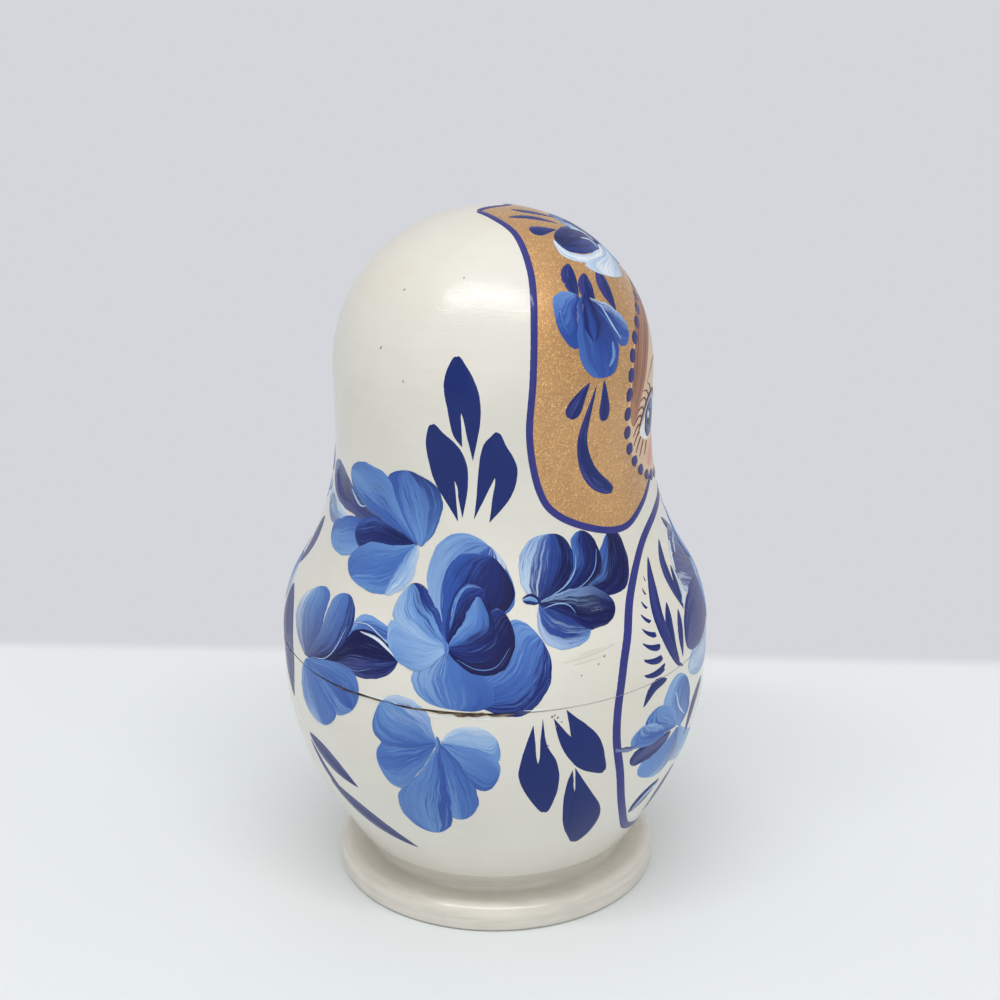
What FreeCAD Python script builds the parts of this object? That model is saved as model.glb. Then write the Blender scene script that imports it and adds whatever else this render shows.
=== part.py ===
import FreeCAD, Part
import math
import os
import Sketcher

# Nesting doll set: seven turned lime wood dolls, one inside the other.
# The outer doll stands on a turned foot, and the dolls inside it have plain flat bases.
# Six dolls come apart at a seam below the belly's widest place. The lower half carries a
# thin tongue that slides into a socket in the upper half. The seventh doll is solid.
# Frame: Z is up, the face looks along -Y, and the origin is on the floor under the foot's centre.
# All lengths are in millimetres. Radii are measured from the Z axis.

DOLLS = ["outer", "second", "third", "fourth", "fifth", "sixth", "seventh"]

SIZES = [
    ("doll_height", 150.0, "floor to the top of the outer doll"),
    ("foot_radius", 35.4, "widest place of the turned foot"),
    ("foot_thickness", 6.0, "floor to the top edge of the foot"),
    ("foot_top_round", 3.0, "rounding of the foot's top edge"),
    ("foot_heel_round", 1.1, "rounding where the foot meets the floor"),
    ("waist_radius", 27.9, "bottom of the groove between foot and body"),
    ("waist_round", 1.2, "rounding inside that groove"),
    ("underside_height", 11.7, "floor to the body's lower edge"),
    ("underside_radius", 32.0, "the body's lower edge"),
    ("underside_round", 1.0, "rounding of the body's lower edge"),
    ("underside_rake", 2.6, "how much the underside rises towards the groove"),
    ("hip_height", 35.6, "where the lower cone would meet the belly line"),
    ("hip_round", 63.0, "rounding from the lower cone into the belly"),
    ("belly_radius", 46.15, "widest place of the outer doll"),
    ("seam_height", 58.2, "floor to the seam between the two halves"),
    ("shoulder_rise", 6.8, "seam to where the belly line would meet the shoulder cone"),
    ("shoulder_round", 25.0, "rounding from the belly into the shoulder cone"),
    ("collar_rise", 22.7, "from there to where the shoulder cone would meet the neck line"),
    ("collar_round", 60.0, "hollow rounding from the shoulder into the neck"),
    ("head_radius", 34.1, "head line at the top, before the crown is rounded"),
    ("neck_waist", 0.9, "how much narrower the neck line is at the collar"),
    ("crown_flat", 0.9, "small flat where the blank was parted from the lathe"),
    ("edge_round", 0.15, "broken outer edges of the seam"),
    ("tongue_height", 7.5, "tongue of the outer lower half above the seam"),
    ("tongue_lead", 0.5, "rounding of the tongue's outer top edge"),
    ("socket_gap", 0.5, "room above the tongue in its socket"),
    ("shelf_rise", 0.6, "straight run of the upper hollow above the socket or the shoulder"),
    ("fit_clearance", 0.1, "radial clearance of the tongue in its socket"),
    ("outer_floor_height", 14.5, "floor to the bottom of the outer doll's hollow"),
    ("outer_crown", 6.0, "wood over the outer doll's hollow"),
    ("outer_rim_wall", 1.9, "thinnest wood beside the outer socket"),
    ("outer_tongue_wall", 2.2, "thickness of the outer tongue"),
    ("outer_head_wall", 3.0, "wall of the outer neck and head"),
    ("outer_side_wall", 5.0, "level wall of the outer lower half at its floor"),
    ("inner_floor", 5.0, "floor thickness of each inner doll"),
    ("inner_crown", 6.2, "wood over each inner doll's hollow"),
    ("inner_rim_wall", 1.5, "thinnest wood beside each inner socket"),
    ("inner_tongue_wall", 1.8, "thickness of each inner tongue"),
    ("inner_head_wall", 2.4, "wall of each inner neck and head"),
    ("inner_side_wall", 4.2, "level wall of each inner lower half at its floor"),
    ("base_round", 1.2, "rounding round each inner doll's flat base"),
    ("hollow_round", 3.0, "rounding between floor and wall in each hollow"),
    ("headroom", 5.8, "free height over each doll inside the next"),
    ("side_room", 1.3, "free radius round each doll's belly"),
    ("neck_room", 0.9, "free radius round each doll's head in the neck around it"),
    ("base_room", 2.0, "free radius round each doll's base"),
    ("overrun", 5.0, "how far each cut runs past the wood"),
]

AXIS = None  # a corner with this radius lies on the turning axis
LEVEL = None  # a corner with this height lies on the doll's own base plane
SHARP = None  # a corner with this round stays sharp
LEG_SHARE = 0.98  # the most of a straight run that roundings may use up
SHOWN_ROWS = ["place", "floor", "seam", "tongue_top", "top", "belly", "crown", "hollow_head", "hollow_flat"]
VOLUME_STEP_SHARE = 1e-6  # a cut that removes less than this share of the volume cut nothing


def fill_sizes(sheet):
    """The driving sizes, one row each: name, plain number, meaning."""
    for row, (alias, size, meaning) in enumerate(SIZES, start=1):
        sheet.set(f"A{row}", alias)
        sheet.set(f"B{row}", str(size))
        sheet.set(f"C{row}", meaning)
        sheet.setAlias(f"B{row}", alias)


def outer_rows():
    """What the outer doll takes from the driving sizes."""
    return {
        "place": "0",
        "stand": "sizes.underside_height",
        "top": "sizes.doll_height",
        "belly": "sizes.belly_radius",
        "base": "sizes.underside_radius",
        "head": "sizes.head_radius",
        "floor": "sizes.outer_floor_height",
        "crown": "sizes.outer_crown",
        "rim_wall": "sizes.outer_rim_wall",
        "tongue_wall": "sizes.outer_tongue_wall",
        "head_wall": "sizes.outer_head_wall",
        "side_wall": "sizes.outer_side_wall",
    }


def inner_rows(outside):
    """What an inner doll takes from the hollow of the doll outside it."""
    return {
        "place": f"{outside}_place + {outside}_floor",
        "stand": "0",
        "top": f"{outside}_top - {outside}_crown - {outside}_floor - sizes.headroom",
        "belly": f"{outside}_hollow - sizes.side_room",
        "base": f"{outside}_hollow_base - sizes.base_room",
        "head": f"min({outside}_hollow_neck; {outside}_hollow_head) - sizes.neck_room",
        "floor": "sizes.inner_floor",
        "crown": "sizes.inner_crown",
        "rim_wall": "sizes.inner_rim_wall",
        "tongue_wall": "sizes.inner_tongue_wall",
        "head_wall": "sizes.inner_head_wall",
        "side_wall": "sizes.inner_side_wall",
    }


def shape_rows(doll):
    """The outline and the joint of any doll, scaled by its body height to the outer doll's shape."""

    def raised(size):
        return f"{doll}_stand + (sizes.{size} - sizes.underside_height) * {doll}_scale"

    return {
        "scale": f"({doll}_top - {doll}_stand) / (sizes.doll_height - sizes.underside_height)",
        "hip": raised("hip_height"),
        "seam": raised("seam_height"),
        "shoulder": f"{doll}_seam + sizes.shoulder_rise * {doll}_scale",
        "collar": f"{doll}_shoulder + sizes.collar_rise * {doll}_scale",
        "neck": f"{doll}_head - sizes.neck_waist * {doll}_scale",
        "tongue_top": f"{doll}_seam + sizes.tongue_height * {doll}_scale",
        "socket_top": f"{doll}_tongue_top + sizes.socket_gap",
        "hollow_shoulder": f"max({doll}_shoulder; {doll}_socket_top) + sizes.shelf_rise * {doll}_scale",
        "shoulder_slope": f"({doll}_belly - {doll}_neck) / ({doll}_collar - {doll}_shoulder)",
        "cone_at_socket": f"{doll}_belly - ({doll}_socket_top - {doll}_shoulder) * {doll}_shoulder_slope",
        "socket": f"min({doll}_belly; {doll}_cone_at_socket) - {doll}_rim_wall",
        "tongue": f"{doll}_socket - sizes.fit_clearance",
        "hollow": f"{doll}_tongue - {doll}_tongue_wall",
        "hollow_neck": f"{doll}_neck - {doll}_head_wall",
        "hollow_head": f"{doll}_head - {doll}_head_wall",
        "hollow_flat": f"sizes.crown_flat * {doll}_scale",
        "hip_slope": f"({doll}_belly - {doll}_base) / ({doll}_hip - {doll}_stand)",
        "hollow_base": f"{doll}_base + ({doll}_floor - {doll}_stand) * {doll}_hip_slope - {doll}_side_wall",
    }


def fill_dolls(sheet):
    """One block of rows for each doll, each row a formula."""
    row = 0
    outside = None
    for doll in DOLLS:
        rows = inner_rows(outside) if outside else outer_rows()
        rows.update(shape_rows(doll))
        for name, formula in rows.items():
            row += 1
            sheet.set(f"A{row}", f"{doll} {name}")
            sheet.set(f"B{row}", f"={formula}")
            sheet.setAlias(f"B{row}", f"{doll}_{name}")
        outside = doll


def value(sheet, expression):
    """The number that an expression on the sheets gives now."""
    found = sheet.evalExpression(expression)
    return float(getattr(found, "Value", found))


def turn_angle(before, corner, after):
    """How far the outline turns at a corner, in radians."""
    way_in = corner.sub(before)
    way_out = after.sub(corner)
    return way_in.getAngle(way_out)


def rounds_that_fit(points, wanted):
    """Each corner's radius, cut back where two roundings would use up the straight run between them."""
    count = len(points)
    tangents = []
    for i in range(count):
        turn = turn_angle(points[i - 1], points[i], points[(i + 1) % count])
        tangents.append(wanted[i] * math.tan(turn / 2) if wanted[i] else 0.0)
    fitted = []
    for i in range(count):
        if not wanted[i]:
            fitted.append(0.0)
            continue
        share = 1.0
        for other in (i - 1, (i + 1) % count):
            leg = points[i].distanceToPoint(points[other])
            used = tangents[i] + tangents[other]
            if used > leg * LEG_SHARE:
                share = min(share, leg * LEG_SHARE / used)
        fitted.append(wanted[i] * share)
    return fitted


def outline_sketch(body, sheet, name, corners):
    """A closed outline on the body's XZ plane, of straight runs and tangent roundings.

    Each corner is (radius, height, round), as expressions on the sheets.
    """
    points = []
    wanted = []
    for radius, height, rounding in corners:
        across = value(sheet, radius) if radius else 0.0
        up = value(sheet, height) if height else 0.0
        points.append(FreeCAD.Vector(across, up, 0))
        wanted.append(value(sheet, rounding) if rounding else 0.0)
    fitted = rounds_that_fit(points, wanted)
    count = len(points)

    starts = []
    ends = []
    arcs = {}
    leftward = {}
    for i in range(count):
        corner = points[i]
        if not fitted[i]:
            ends.append(corner)
            starts.append(corner)
            continue
        back = points[i - 1].sub(corner).normalize()
        ahead = points[(i + 1) % count].sub(corner).normalize()
        turn = turn_angle(points[i - 1], corner, points[(i + 1) % count])
        tangent = fitted[i] * math.tan(turn / 2)
        first = corner + back * tangent
        last = corner + ahead * tangent
        inward = (back + ahead).normalize()
        centre = corner + inward * (fitted[i] / math.cos(turn / 2))
        middle = centre - inward * fitted[i]
        leftward[i] = back.cross(ahead).z < 0
        ordered = (first, middle, last) if leftward[i] else (last, middle, first)
        arcs[i] = Part.Arc(*ordered)
        ends.append(first)
        starts.append(last)

    sketch = body.newObject("Sketcher::SketchObject", name)
    plane = next(o for o in body.Origin.OriginFeatures if o.Role == "XZ_Plane")
    sketch.AttachmentSupport = [(plane, "")]
    sketch.MapMode = "FlatFace"

    runs = []
    for i in range(count):
        runs.append(Part.LineSegment(starts[i], ends[(i + 1) % count]))
    sketch.addGeometry(runs, False)
    arc_index = {}
    corner_index = {}
    for i, arc in arcs.items():
        arc_index[i] = sketch.addGeometry(arc, False)
        corner_index[i] = sketch.addGeometry(Part.Point(points[i]), True)

    constraints = []
    bound = []

    def place(geometry, vertex, i):
        """Ties a vertex to the corner's radius and height."""
        radius, height, _ = corners[i]
        if radius is AXIS:
            constraints.append(Sketcher.Constraint("PointOnObject", geometry, vertex, -2))
        else:
            bound.append((len(constraints), f"corner_{i}_radius", radius))
            constraints.append(Sketcher.Constraint("DistanceX", geometry, vertex, points[i].x))
        if height is LEVEL:
            constraints.append(Sketcher.Constraint("PointOnObject", geometry, vertex, -1))
        else:
            bound.append((len(constraints), f"corner_{i}_height", height))
            constraints.append(Sketcher.Constraint("DistanceY", geometry, vertex, points[i].y))

    for i in range(count):
        before = (i - 1) % count
        if i not in arcs:
            constraints.append(Sketcher.Constraint("Coincident", before, 2, i, 1))
            place(i, 1, i)
            continue
        arc = arc_index[i]
        first, last = (1, 2) if leftward[i] else (2, 1)
        constraints.append(Sketcher.Constraint("Tangent", before, 2, arc, first))
        constraints.append(Sketcher.Constraint("Tangent", arc, last, i, 1))
        constraints.append(Sketcher.Constraint("PointOnObject", corner_index[i], 1, before))
        constraints.append(Sketcher.Constraint("PointOnObject", corner_index[i], 1, i))
        place(corner_index[i], 1, i)
        if fitted[i] == wanted[i]:
            bound.append((len(constraints), f"corner_{i}_round", corners[i][2]))
        constraints.append(Sketcher.Constraint("Radius", arc, fitted[i]))
    sketch.addConstraint(constraints)
    for index, label, expression in bound:
        sketch.renameConstraint(index, label)
        sketch.setExpression(f"Constraints.{label}", expression)
    return sketch


def turn(body, sketch, kind, name):
    """One full turn of a sketch about the lathe's axis."""
    feature = body.newObject(kind, name)
    feature.Profile = sketch
    feature.ReferenceAxis = (sketch, ["V_Axis"])
    feature.Angle = 360.0
    body.Tip = feature
    return feature


def new_body(doc, label, doll):
    """An empty body that stands on the floor of the doll outside it."""
    body = doc.addObject("PartDesign::Body", label)
    body.Label = label
    body.setExpression("Placement.Base.z", f"dolls.{doll}_place")
    return body


def scaled(size, doll):
    """A driving size in proportion to the doll's body height."""
    return f"sizes.{size} * dolls.{doll}_scale"


def base_corners(doll):
    """The outline from the axis to the body's lower edge."""
    if doll != DOLLS[0]:
        return [(AXIS, LEVEL, SHARP), (f"dolls.{doll}_base", LEVEL, scaled("base_round", doll))]
    return [
        (AXIS, LEVEL, SHARP),
        ("sizes.foot_radius", LEVEL, "sizes.foot_heel_round"),
        ("sizes.foot_radius", "sizes.foot_thickness", "sizes.foot_top_round"),
        ("sizes.waist_radius", "sizes.foot_thickness", "sizes.waist_round"),
        ("sizes.waist_radius", "sizes.underside_height - sizes.underside_rake", SHARP),
        ("sizes.underside_radius", "sizes.underside_height", "sizes.underside_round"),
    ]


def head_corners(doll):
    """The outline from the shoulder to the top of the crown."""
    belly = f"dolls.{doll}_belly"
    head = f"dolls.{doll}_head"
    top = f"dolls.{doll}_top"
    return [
        (belly, f"dolls.{doll}_shoulder", scaled("shoulder_round", doll)),
        (f"dolls.{doll}_neck", f"dolls.{doll}_collar", scaled("collar_round", doll)),
        (head, top, f"{head} - {scaled('crown_flat', doll)}"),
        (AXIS, top, SHARP),
    ]


def lower_half(doc, sheet, doll):
    """The lower half: foot or base, hip, seam face and tongue, then its hollow."""
    body = new_body(doc, f"{doll}_lower_half", doll)
    belly = f"dolls.{doll}_belly"
    seam = f"dolls.{doll}_seam"
    tongue = f"dolls.{doll}_tongue"
    tongue_top = f"dolls.{doll}_tongue_top"
    outline = base_corners(doll) + [
        (belly, f"dolls.{doll}_hip", scaled("hip_round", doll)),
        (belly, seam, scaled("edge_round", doll)),
        (tongue, seam, SHARP),
        (tongue, tongue_top, scaled("tongue_lead", doll)),
        (AXIS, tongue_top, SHARP),
    ]
    sketch = outline_sketch(body, sheet, f"{doll}_lower_outline", outline)
    turn(body, sketch, "PartDesign::Revolution", f"{doll}_lower_turned")

    mouth = f"{tongue_top} + sizes.overrun"
    hollow = f"dolls.{doll}_hollow"
    floor = f"dolls.{doll}_floor"
    bore = [
        (AXIS, floor, SHARP),
        (f"dolls.{doll}_hollow_base", floor, "sizes.hollow_round"),
        (hollow, f"dolls.{doll}_hip", scaled("hip_round", doll)),
        (hollow, mouth, SHARP),
        (AXIS, mouth, SHARP),
    ]
    sketch = outline_sketch(body, sheet, f"{doll}_lower_bore", bore)
    turn(body, sketch, "PartDesign::Groove", f"{doll}_lower_hollow")
    return body


def upper_half(doc, sheet, doll):
    """The upper half: seam face, shoulder, neck and crown, then its socket and hollow."""
    body = new_body(doc, f"{doll}_upper_half", doll)
    seam = f"dolls.{doll}_seam"
    edge = (f"dolls.{doll}_belly", seam, scaled("edge_round", doll))
    outline = [(AXIS, seam, SHARP), edge] + head_corners(doll)
    sketch = outline_sketch(body, sheet, f"{doll}_upper_outline", outline)
    turn(body, sketch, "PartDesign::Revolution", f"{doll}_upper_turned")

    mouth = f"{seam} - sizes.overrun"
    socket = f"dolls.{doll}_socket"
    socket_top = f"dolls.{doll}_socket_top"
    hollow = f"dolls.{doll}_hollow"
    ceiling = f"dolls.{doll}_top - dolls.{doll}_crown"
    hollow_neck = f"dolls.{doll}_hollow_neck"
    head_hollow = f"dolls.{doll}_hollow_head"
    bore = [
        (AXIS, mouth, SHARP),
        (socket, mouth, SHARP),
        (socket, socket_top, SHARP),
        (hollow, socket_top, SHARP),
        (hollow, f"dolls.{doll}_hollow_shoulder", SHARP),
        (hollow_neck, f"dolls.{doll}_collar", scaled("collar_round", doll)),
        (head_hollow, ceiling, f"{head_hollow} - dolls.{doll}_hollow_flat"),
        (AXIS, ceiling, SHARP),
    ]
    sketch = outline_sketch(body, sheet, f"{doll}_upper_bore", bore)
    turn(body, sketch, "PartDesign::Groove", f"{doll}_upper_hollow")
    return body


def solid_doll(doc, sheet, doll):
    """The innermost doll, turned in one piece."""
    body = new_body(doc, f"{doll}_doll", doll)
    hip = (f"dolls.{doll}_belly", f"dolls.{doll}_hip", scaled("hip_round", doll))
    outline = base_corners(doll) + [hip] + head_corners(doll)
    sketch = outline_sketch(body, sheet, f"{doll}_outline", outline)
    turn(body, sketch, "PartDesign::Revolution", f"{doll}_turned")
    return body


def check(doc, bodies):
    """Stops if an object failed, a sub-part isn't one valid solid, or a cut removed nothing."""
    for item in doc.Objects:
        if "Invalid" in item.State or "Error" in item.State:
            raise RuntimeError(f"{item.Name} failed: {item.State}")
    for body in bodies:
        shape = body.Shape
        if shape.isNull() or not shape.isValid() or len(shape.Solids) != 1:
            raise RuntimeError(f"{body.Label} isn't one valid solid")
        for feature in body.Group:
            if feature.TypeId != "PartDesign::Groove":
                continue
            before = feature.BaseFeature.Shape.Volume
            if before - feature.Shape.Volume < before * VOLUME_STEP_SHARE:
                raise RuntimeError(f"{feature.Name} cut nothing")


def build():
    doc = FreeCAD.newDocument("nesting_doll")
    sizes = doc.addObject("Spreadsheet::Sheet", "sizes")
    fill_sizes(sizes)
    dolls = doc.addObject("Spreadsheet::Sheet", "dolls")
    fill_dolls(dolls)
    doc.recompute()

    bodies = []
    for doll in DOLLS[:-1]:
        bodies.append(lower_half(doc, dolls, doll))
        bodies.append(upper_half(doc, dolls, doll))
    bodies.append(solid_doll(doc, dolls, DOLLS[-1]))
    doc.recompute()
    check(doc, bodies)

    os.makedirs("parts", exist_ok=True)
    for body in bodies:
        body.Shape.exportStep(f"parts/{body.Label}.step")
        print(f"{body.Label}: {body.Shape.Volume:.0f} mm3, {len(body.Shape.Faces)} faces")
    for doll in DOLLS:
        rows = {name: dolls.get(f"{doll}_{name}") for name in SHOWN_ROWS}
        print(f"{doll}: " + ", ".join(f"{name} {size:.2f}" for name, size in rows.items()))


build()
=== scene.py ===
"""A nesting doll in seven sizes: turned wooden shells, their hand painting and a plain studio."""

import math

import bmesh
import bpy
import numpy as np
from mathutils import Matrix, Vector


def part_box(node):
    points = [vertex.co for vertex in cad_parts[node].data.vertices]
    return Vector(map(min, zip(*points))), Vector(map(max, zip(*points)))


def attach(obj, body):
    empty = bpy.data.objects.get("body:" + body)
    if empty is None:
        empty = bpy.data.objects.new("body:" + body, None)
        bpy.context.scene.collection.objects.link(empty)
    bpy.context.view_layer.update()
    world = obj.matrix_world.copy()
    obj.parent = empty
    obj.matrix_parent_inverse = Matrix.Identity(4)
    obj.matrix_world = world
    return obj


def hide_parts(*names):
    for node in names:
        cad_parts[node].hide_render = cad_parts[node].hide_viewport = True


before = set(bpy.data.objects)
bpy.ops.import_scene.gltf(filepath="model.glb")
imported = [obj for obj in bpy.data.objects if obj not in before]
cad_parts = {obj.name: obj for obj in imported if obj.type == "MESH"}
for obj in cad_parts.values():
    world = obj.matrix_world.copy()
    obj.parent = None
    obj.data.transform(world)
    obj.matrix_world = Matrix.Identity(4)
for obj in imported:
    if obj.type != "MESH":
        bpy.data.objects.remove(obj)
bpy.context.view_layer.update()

bl_info = {
    "name": "Painted Nesting Doll",
    "version": (1, 0, 0),
    "blender": (4, 5, 0),
    "location": "View3D > Sidebar > Nesting Doll",
    "description": "Turned shells, brushed flowers and a studio for a nesting doll",
    "category": "Add Mesh",
}

MM = 0.001
DOLLS = ("outer", "second", "third", "fourth", "fifth", "sixth", "seventh")

# Heights of the outer doll that all painted places are measured on, in millimetres.
STAND = 11.7
TOP = 150.0
HEAD_CENTRE = 116.5
HEAD_RADIUS = 33.5


def srgb(red, green, blue):
    """A colour from its 0 to 255 screen values, as the linear values that shaders take."""
    levels = []
    for value in (red, green, blue):
        share = value / 255
        levels.append(share / 12.92 if share <= 0.04045 else ((share + 0.055) / 1.055) ** 2.4)
    return tuple(levels)


def tint(name, description, red, green, blue):
    """A colour that the user can change."""
    return bpy.props.FloatVectorProperty(
        name=name, description=description, subtype="COLOR", size=3, min=0, max=1,
        default=srgb(red, green, blue))


def distance(name, description, millimetres):
    """A length that the user can change, given here in millimetres."""
    return bpy.props.FloatProperty(
        name=name, description=description, unit="LENGTH", subtype="DISTANCE",
        precision=5, default=millimetres * MM)


class NestingDollSizes(bpy.types.PropertyGroup):
    """Sizes of the turning and of the brush work."""
    spin_steps: bpy.props.IntProperty(
        name="Spin steps", description="Facets round the outer doll", default=256, min=24)
    inner_steps: bpy.props.IntProperty(
        name="Inner spin steps", description="Facets round the dolls inside", default=144, min=24)
    paint_rise: distance("Paint rise", "How far the first coat of a stroke stands proud", 0.026)
    coat_rise: distance("Coat rise", "How far each stroke laid over another stands higher", 0.018)
    paint_sink: distance("Paint sink", "How far the underside of a stroke lies in the wood", 0.09)
    brush_cell: distance("Brush cell", "Longest facet of a stroke on the outer doll", 0.95)
    seam_break: distance("Seam break", "Gap in the paint at the seam", 0.14)


class NestingDollColours(bpy.types.PropertyGroup):
    """Colours of the lacquer, the paints and the studio."""
    ground: tint("Ground", "White ground under the painting", 224, 221, 211)
    foot: tint("Foot", "Thinly lacquered foot", 222, 217, 206)
    wood: tint("Wood", "Bare turned lime wood inside", 214, 180, 134)
    # Bare wood at the seam, made darker than rubbed wood is, as painted shade in the crevice between the
    # halves.
    rubbed_and_shaded: tint("Worn edge", "Bruised wood at the seam", 60, 44, 34)
    gold: tint("Gold", "Bronze powder on the scarf", 196, 150, 98)
    floor: tint("Floor", "Pale floor near the doll", 230, 234, 235)
    wall: tint("Wall", "Backdrop behind the doll", 212, 214, 219)


def sizes():
    """The sizes that the user has set."""
    return bpy.context.scene.nesting_doll_sizes


def colours():
    """The colours that the user has set."""
    return bpy.context.scene.nesting_doll_colours


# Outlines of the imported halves

WELD = 1e-6


def turned_outline(node):
    """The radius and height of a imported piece's cut face, walked once from end to end."""
    mesh = bmesh.new()
    mesh.from_mesh(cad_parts[node].data)
    bmesh.ops.remove_doubles(mesh, verts=mesh.verts, dist=WELD)
    on_face = {v for v in mesh.verts if abs(v.co.y) < WELD and v.co.x > WELD}
    beside = {v: [e.other_vert(v) for e in v.link_edges if e.other_vert(v) in on_face] for v in on_face}
    ends = (v for v in on_face if len(beside[v]) == 1)
    walk = [min(ends, key=lambda v: abs(v.co.z - OUTSIDE_END[node]))]
    while True:
        onward = [v for v in beside[walk[-1]] if v not in walk[-2:]]
        if not onward:
            break
        walk.append(onward[0])
    outline = np.array([(v.co.x, v.co.z) for v in walk])
    mesh.free()
    return outline


def outside_ends():
    """The height at which each piece's outside meets the axis: its foot, or its crown."""
    heights = {}
    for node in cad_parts:
        low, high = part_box(node)
        heights[node] = high[2] if node.endswith("upper_half") else low[2]
    return heights


OUTSIDE_END = outside_ends()


def halves(doll):
    """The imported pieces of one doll."""
    if doll == "seventh":
        return ("seventh_doll",)
    return (f"{doll}_lower_half", f"{doll}_upper_half")


def body_for(node):
    """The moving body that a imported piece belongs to."""
    if node == "seventh_doll":
        return "seventh_solid"
    return node.replace("_half", "")


# The outside of a doll, as the brush meets it

# How far from the seam the brush passes straight over the rounded edges there.
SEAM_ROUND = 0.3 * MM


class Skin:
    """The painted outside of one doll. Painted places are given on the outer doll, as a turn in degrees
    from the face and a height in millimetres, and every smaller doll carries them at its own share."""

    def __init__(self, doll):
        pieces = halves(doll)
        lower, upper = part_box(pieces[0]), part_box(pieces[-1])
        self.doll = doll
        self.top = upper[1][2]
        self.base = STAND * MM if doll == "outer" else lower[0][2]
        self.share = (self.top - self.base) / ((TOP - STAND) * MM)
        self.seam = upper[0][2] if len(pieces) == 2 else self.top
        self.head_centre = self.base + (HEAD_CENTRE - STAND) * MM * self.share
        self.head_radius = HEAD_RADIUS * MM * self.share
        self.outline = self.joined_outline(pieces)
        self.rise = self.rise_of(self.outline[:, 0], self.outline[:, 1])
        self.normal = outline_normals(self.outline)

    def joined_outline(self, pieces):
        """Radius and height from the underside of the body up to the crown."""
        low = outside_part(pieces[0])
        if len(pieces) == 2:
            low = np.vstack((low, outside_part(pieces[1])[::-1]))
        low = np.vstack((low, (0.0, self.top)))
        keep = [0]
        for index in range(1, len(low)):
            if low[index, 1] > low[keep[-1], 1] + WELD or low[index, 0] < low[keep[-1], 0] - WELD:
                keep.append(index)
        low = low[keep]
        near = (np.abs(low[:, 1] - self.seam) <= SEAM_ROUND) & (low[:, 1] < self.top - WELD)
        if near.any():
            widest, first = low[near, 0].max(), int(np.argmax(near))
            brim = ((widest, self.seam - SEAM_ROUND), (widest, self.seam + SEAM_ROUND))
            low = np.vstack((low[~near][:first], brim, low[~near][first:]))
        start = max(0, int(np.searchsorted(low[:, 1], self.base + WELD)))
        return low[start:]

    def rise_of(self, radius, height):
        """A measure that grows steadily up the outline: the height, and over the head the angle."""
        above = height - self.head_centre
        around = self.head_centre + self.head_radius * np.arctan2(above, radius)
        return np.where(above <= 0, height, around)

    def places(self, points):
        """Places on this doll for (turn, height) pairs, or for (x, y, height) on the outer doll."""
        out = []
        for point in points:
            height = self.base + (point[-1] - STAND) * MM * self.share
            if len(point) == 2:
                radius = np.interp(height, self.outline[:, 1], self.outline[:, 0])
                turn = math.radians(point[0])
                out.append((-radius * math.sin(turn), -radius * math.cos(turn), height))
            else:
                out.append((point[0] * MM * self.share, point[1] * MM * self.share, height))
        return np.array(out)

    def drape(self, points):
        """The nearest places on the skin, and the way out of it there."""
        radius = np.hypot(points[..., 0], points[..., 1])
        rise = self.rise_of(radius, points[..., 2])
        safe = np.maximum(radius, WELD)
        cos, sin = points[..., 0] / safe, points[..., 1] / safe
        out_radius = np.interp(rise, self.rise, self.outline[:, 0])
        out_height = np.interp(rise, self.rise, self.outline[:, 1])
        lean = np.interp(rise, self.rise, self.normal[:, 0])
        lift = np.interp(rise, self.rise, self.normal[:, 1])
        size = np.hypot(lean, lift)
        normal = np.stack((cos * lean / size, sin * lean / size, lift / size), axis=-1)
        return np.stack((cos * out_radius, sin * out_radius, out_height), axis=-1), normal


def outline_normals(outline):
    """The outward way at each point of an outline that is walked upwards."""
    step = np.gradient(outline, axis=0)
    normal = np.stack((step[:, 1], -step[:, 0]), axis=-1)
    return normal / np.maximum(np.linalg.norm(normal, axis=1, keepdims=True), WELD)


def seam_of(node):
    """The height at which a piece meets the other half, or nothing for the solid doll."""
    return None if node == "seventh_doll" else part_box(node.replace("lower", "upper"))[0][2]


def outside_part(node):
    """The stretch of a packed outline that shows when the doll is shut."""
    outline = turned_outline(node)
    seam = seam_of(node)
    if seam is None:
        return outline
    if node.endswith("upper_half"):
        at_seam = outline[:, 1] < seam + WELD
    else:
        at_seam = outline[:, 1] > seam - WELD
    return outline[:int(np.argmax(at_seam)) + 1]


# Node trees

class Nodes:
    """A node tree under way, with short ways to add nodes and wires."""

    def node(self, kind, **settings):
        """A new node with its settings made."""
        node = self.tree.nodes.new(kind)
        for name, value in settings.items():
            setattr(node, name, value)
        return node

    def feed(self, socket, value):
        """A wire into a socket, or a plain value on it."""
        if isinstance(value, bpy.types.NodeSocket):
            self.tree.links.new(value, socket)
        elif socket.type == "RGBA" and len(value) == 3:
            socket.default_value = (*value, 1.0)
        else:
            socket.default_value = value

    def put(self, kind, inputs, output=0, **settings):
        """One output of a new node whose inputs are fed."""
        node = self.node(kind, **settings)
        for socket, value in inputs.items():
            self.feed(node.inputs[socket], value)
        return node.outputs[output]

    def math(self, operation, first, second=0.0):
        """The result of one sum."""
        return self.put("ShaderNodeMath", {0: first, 1: second}, operation=operation)


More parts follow.
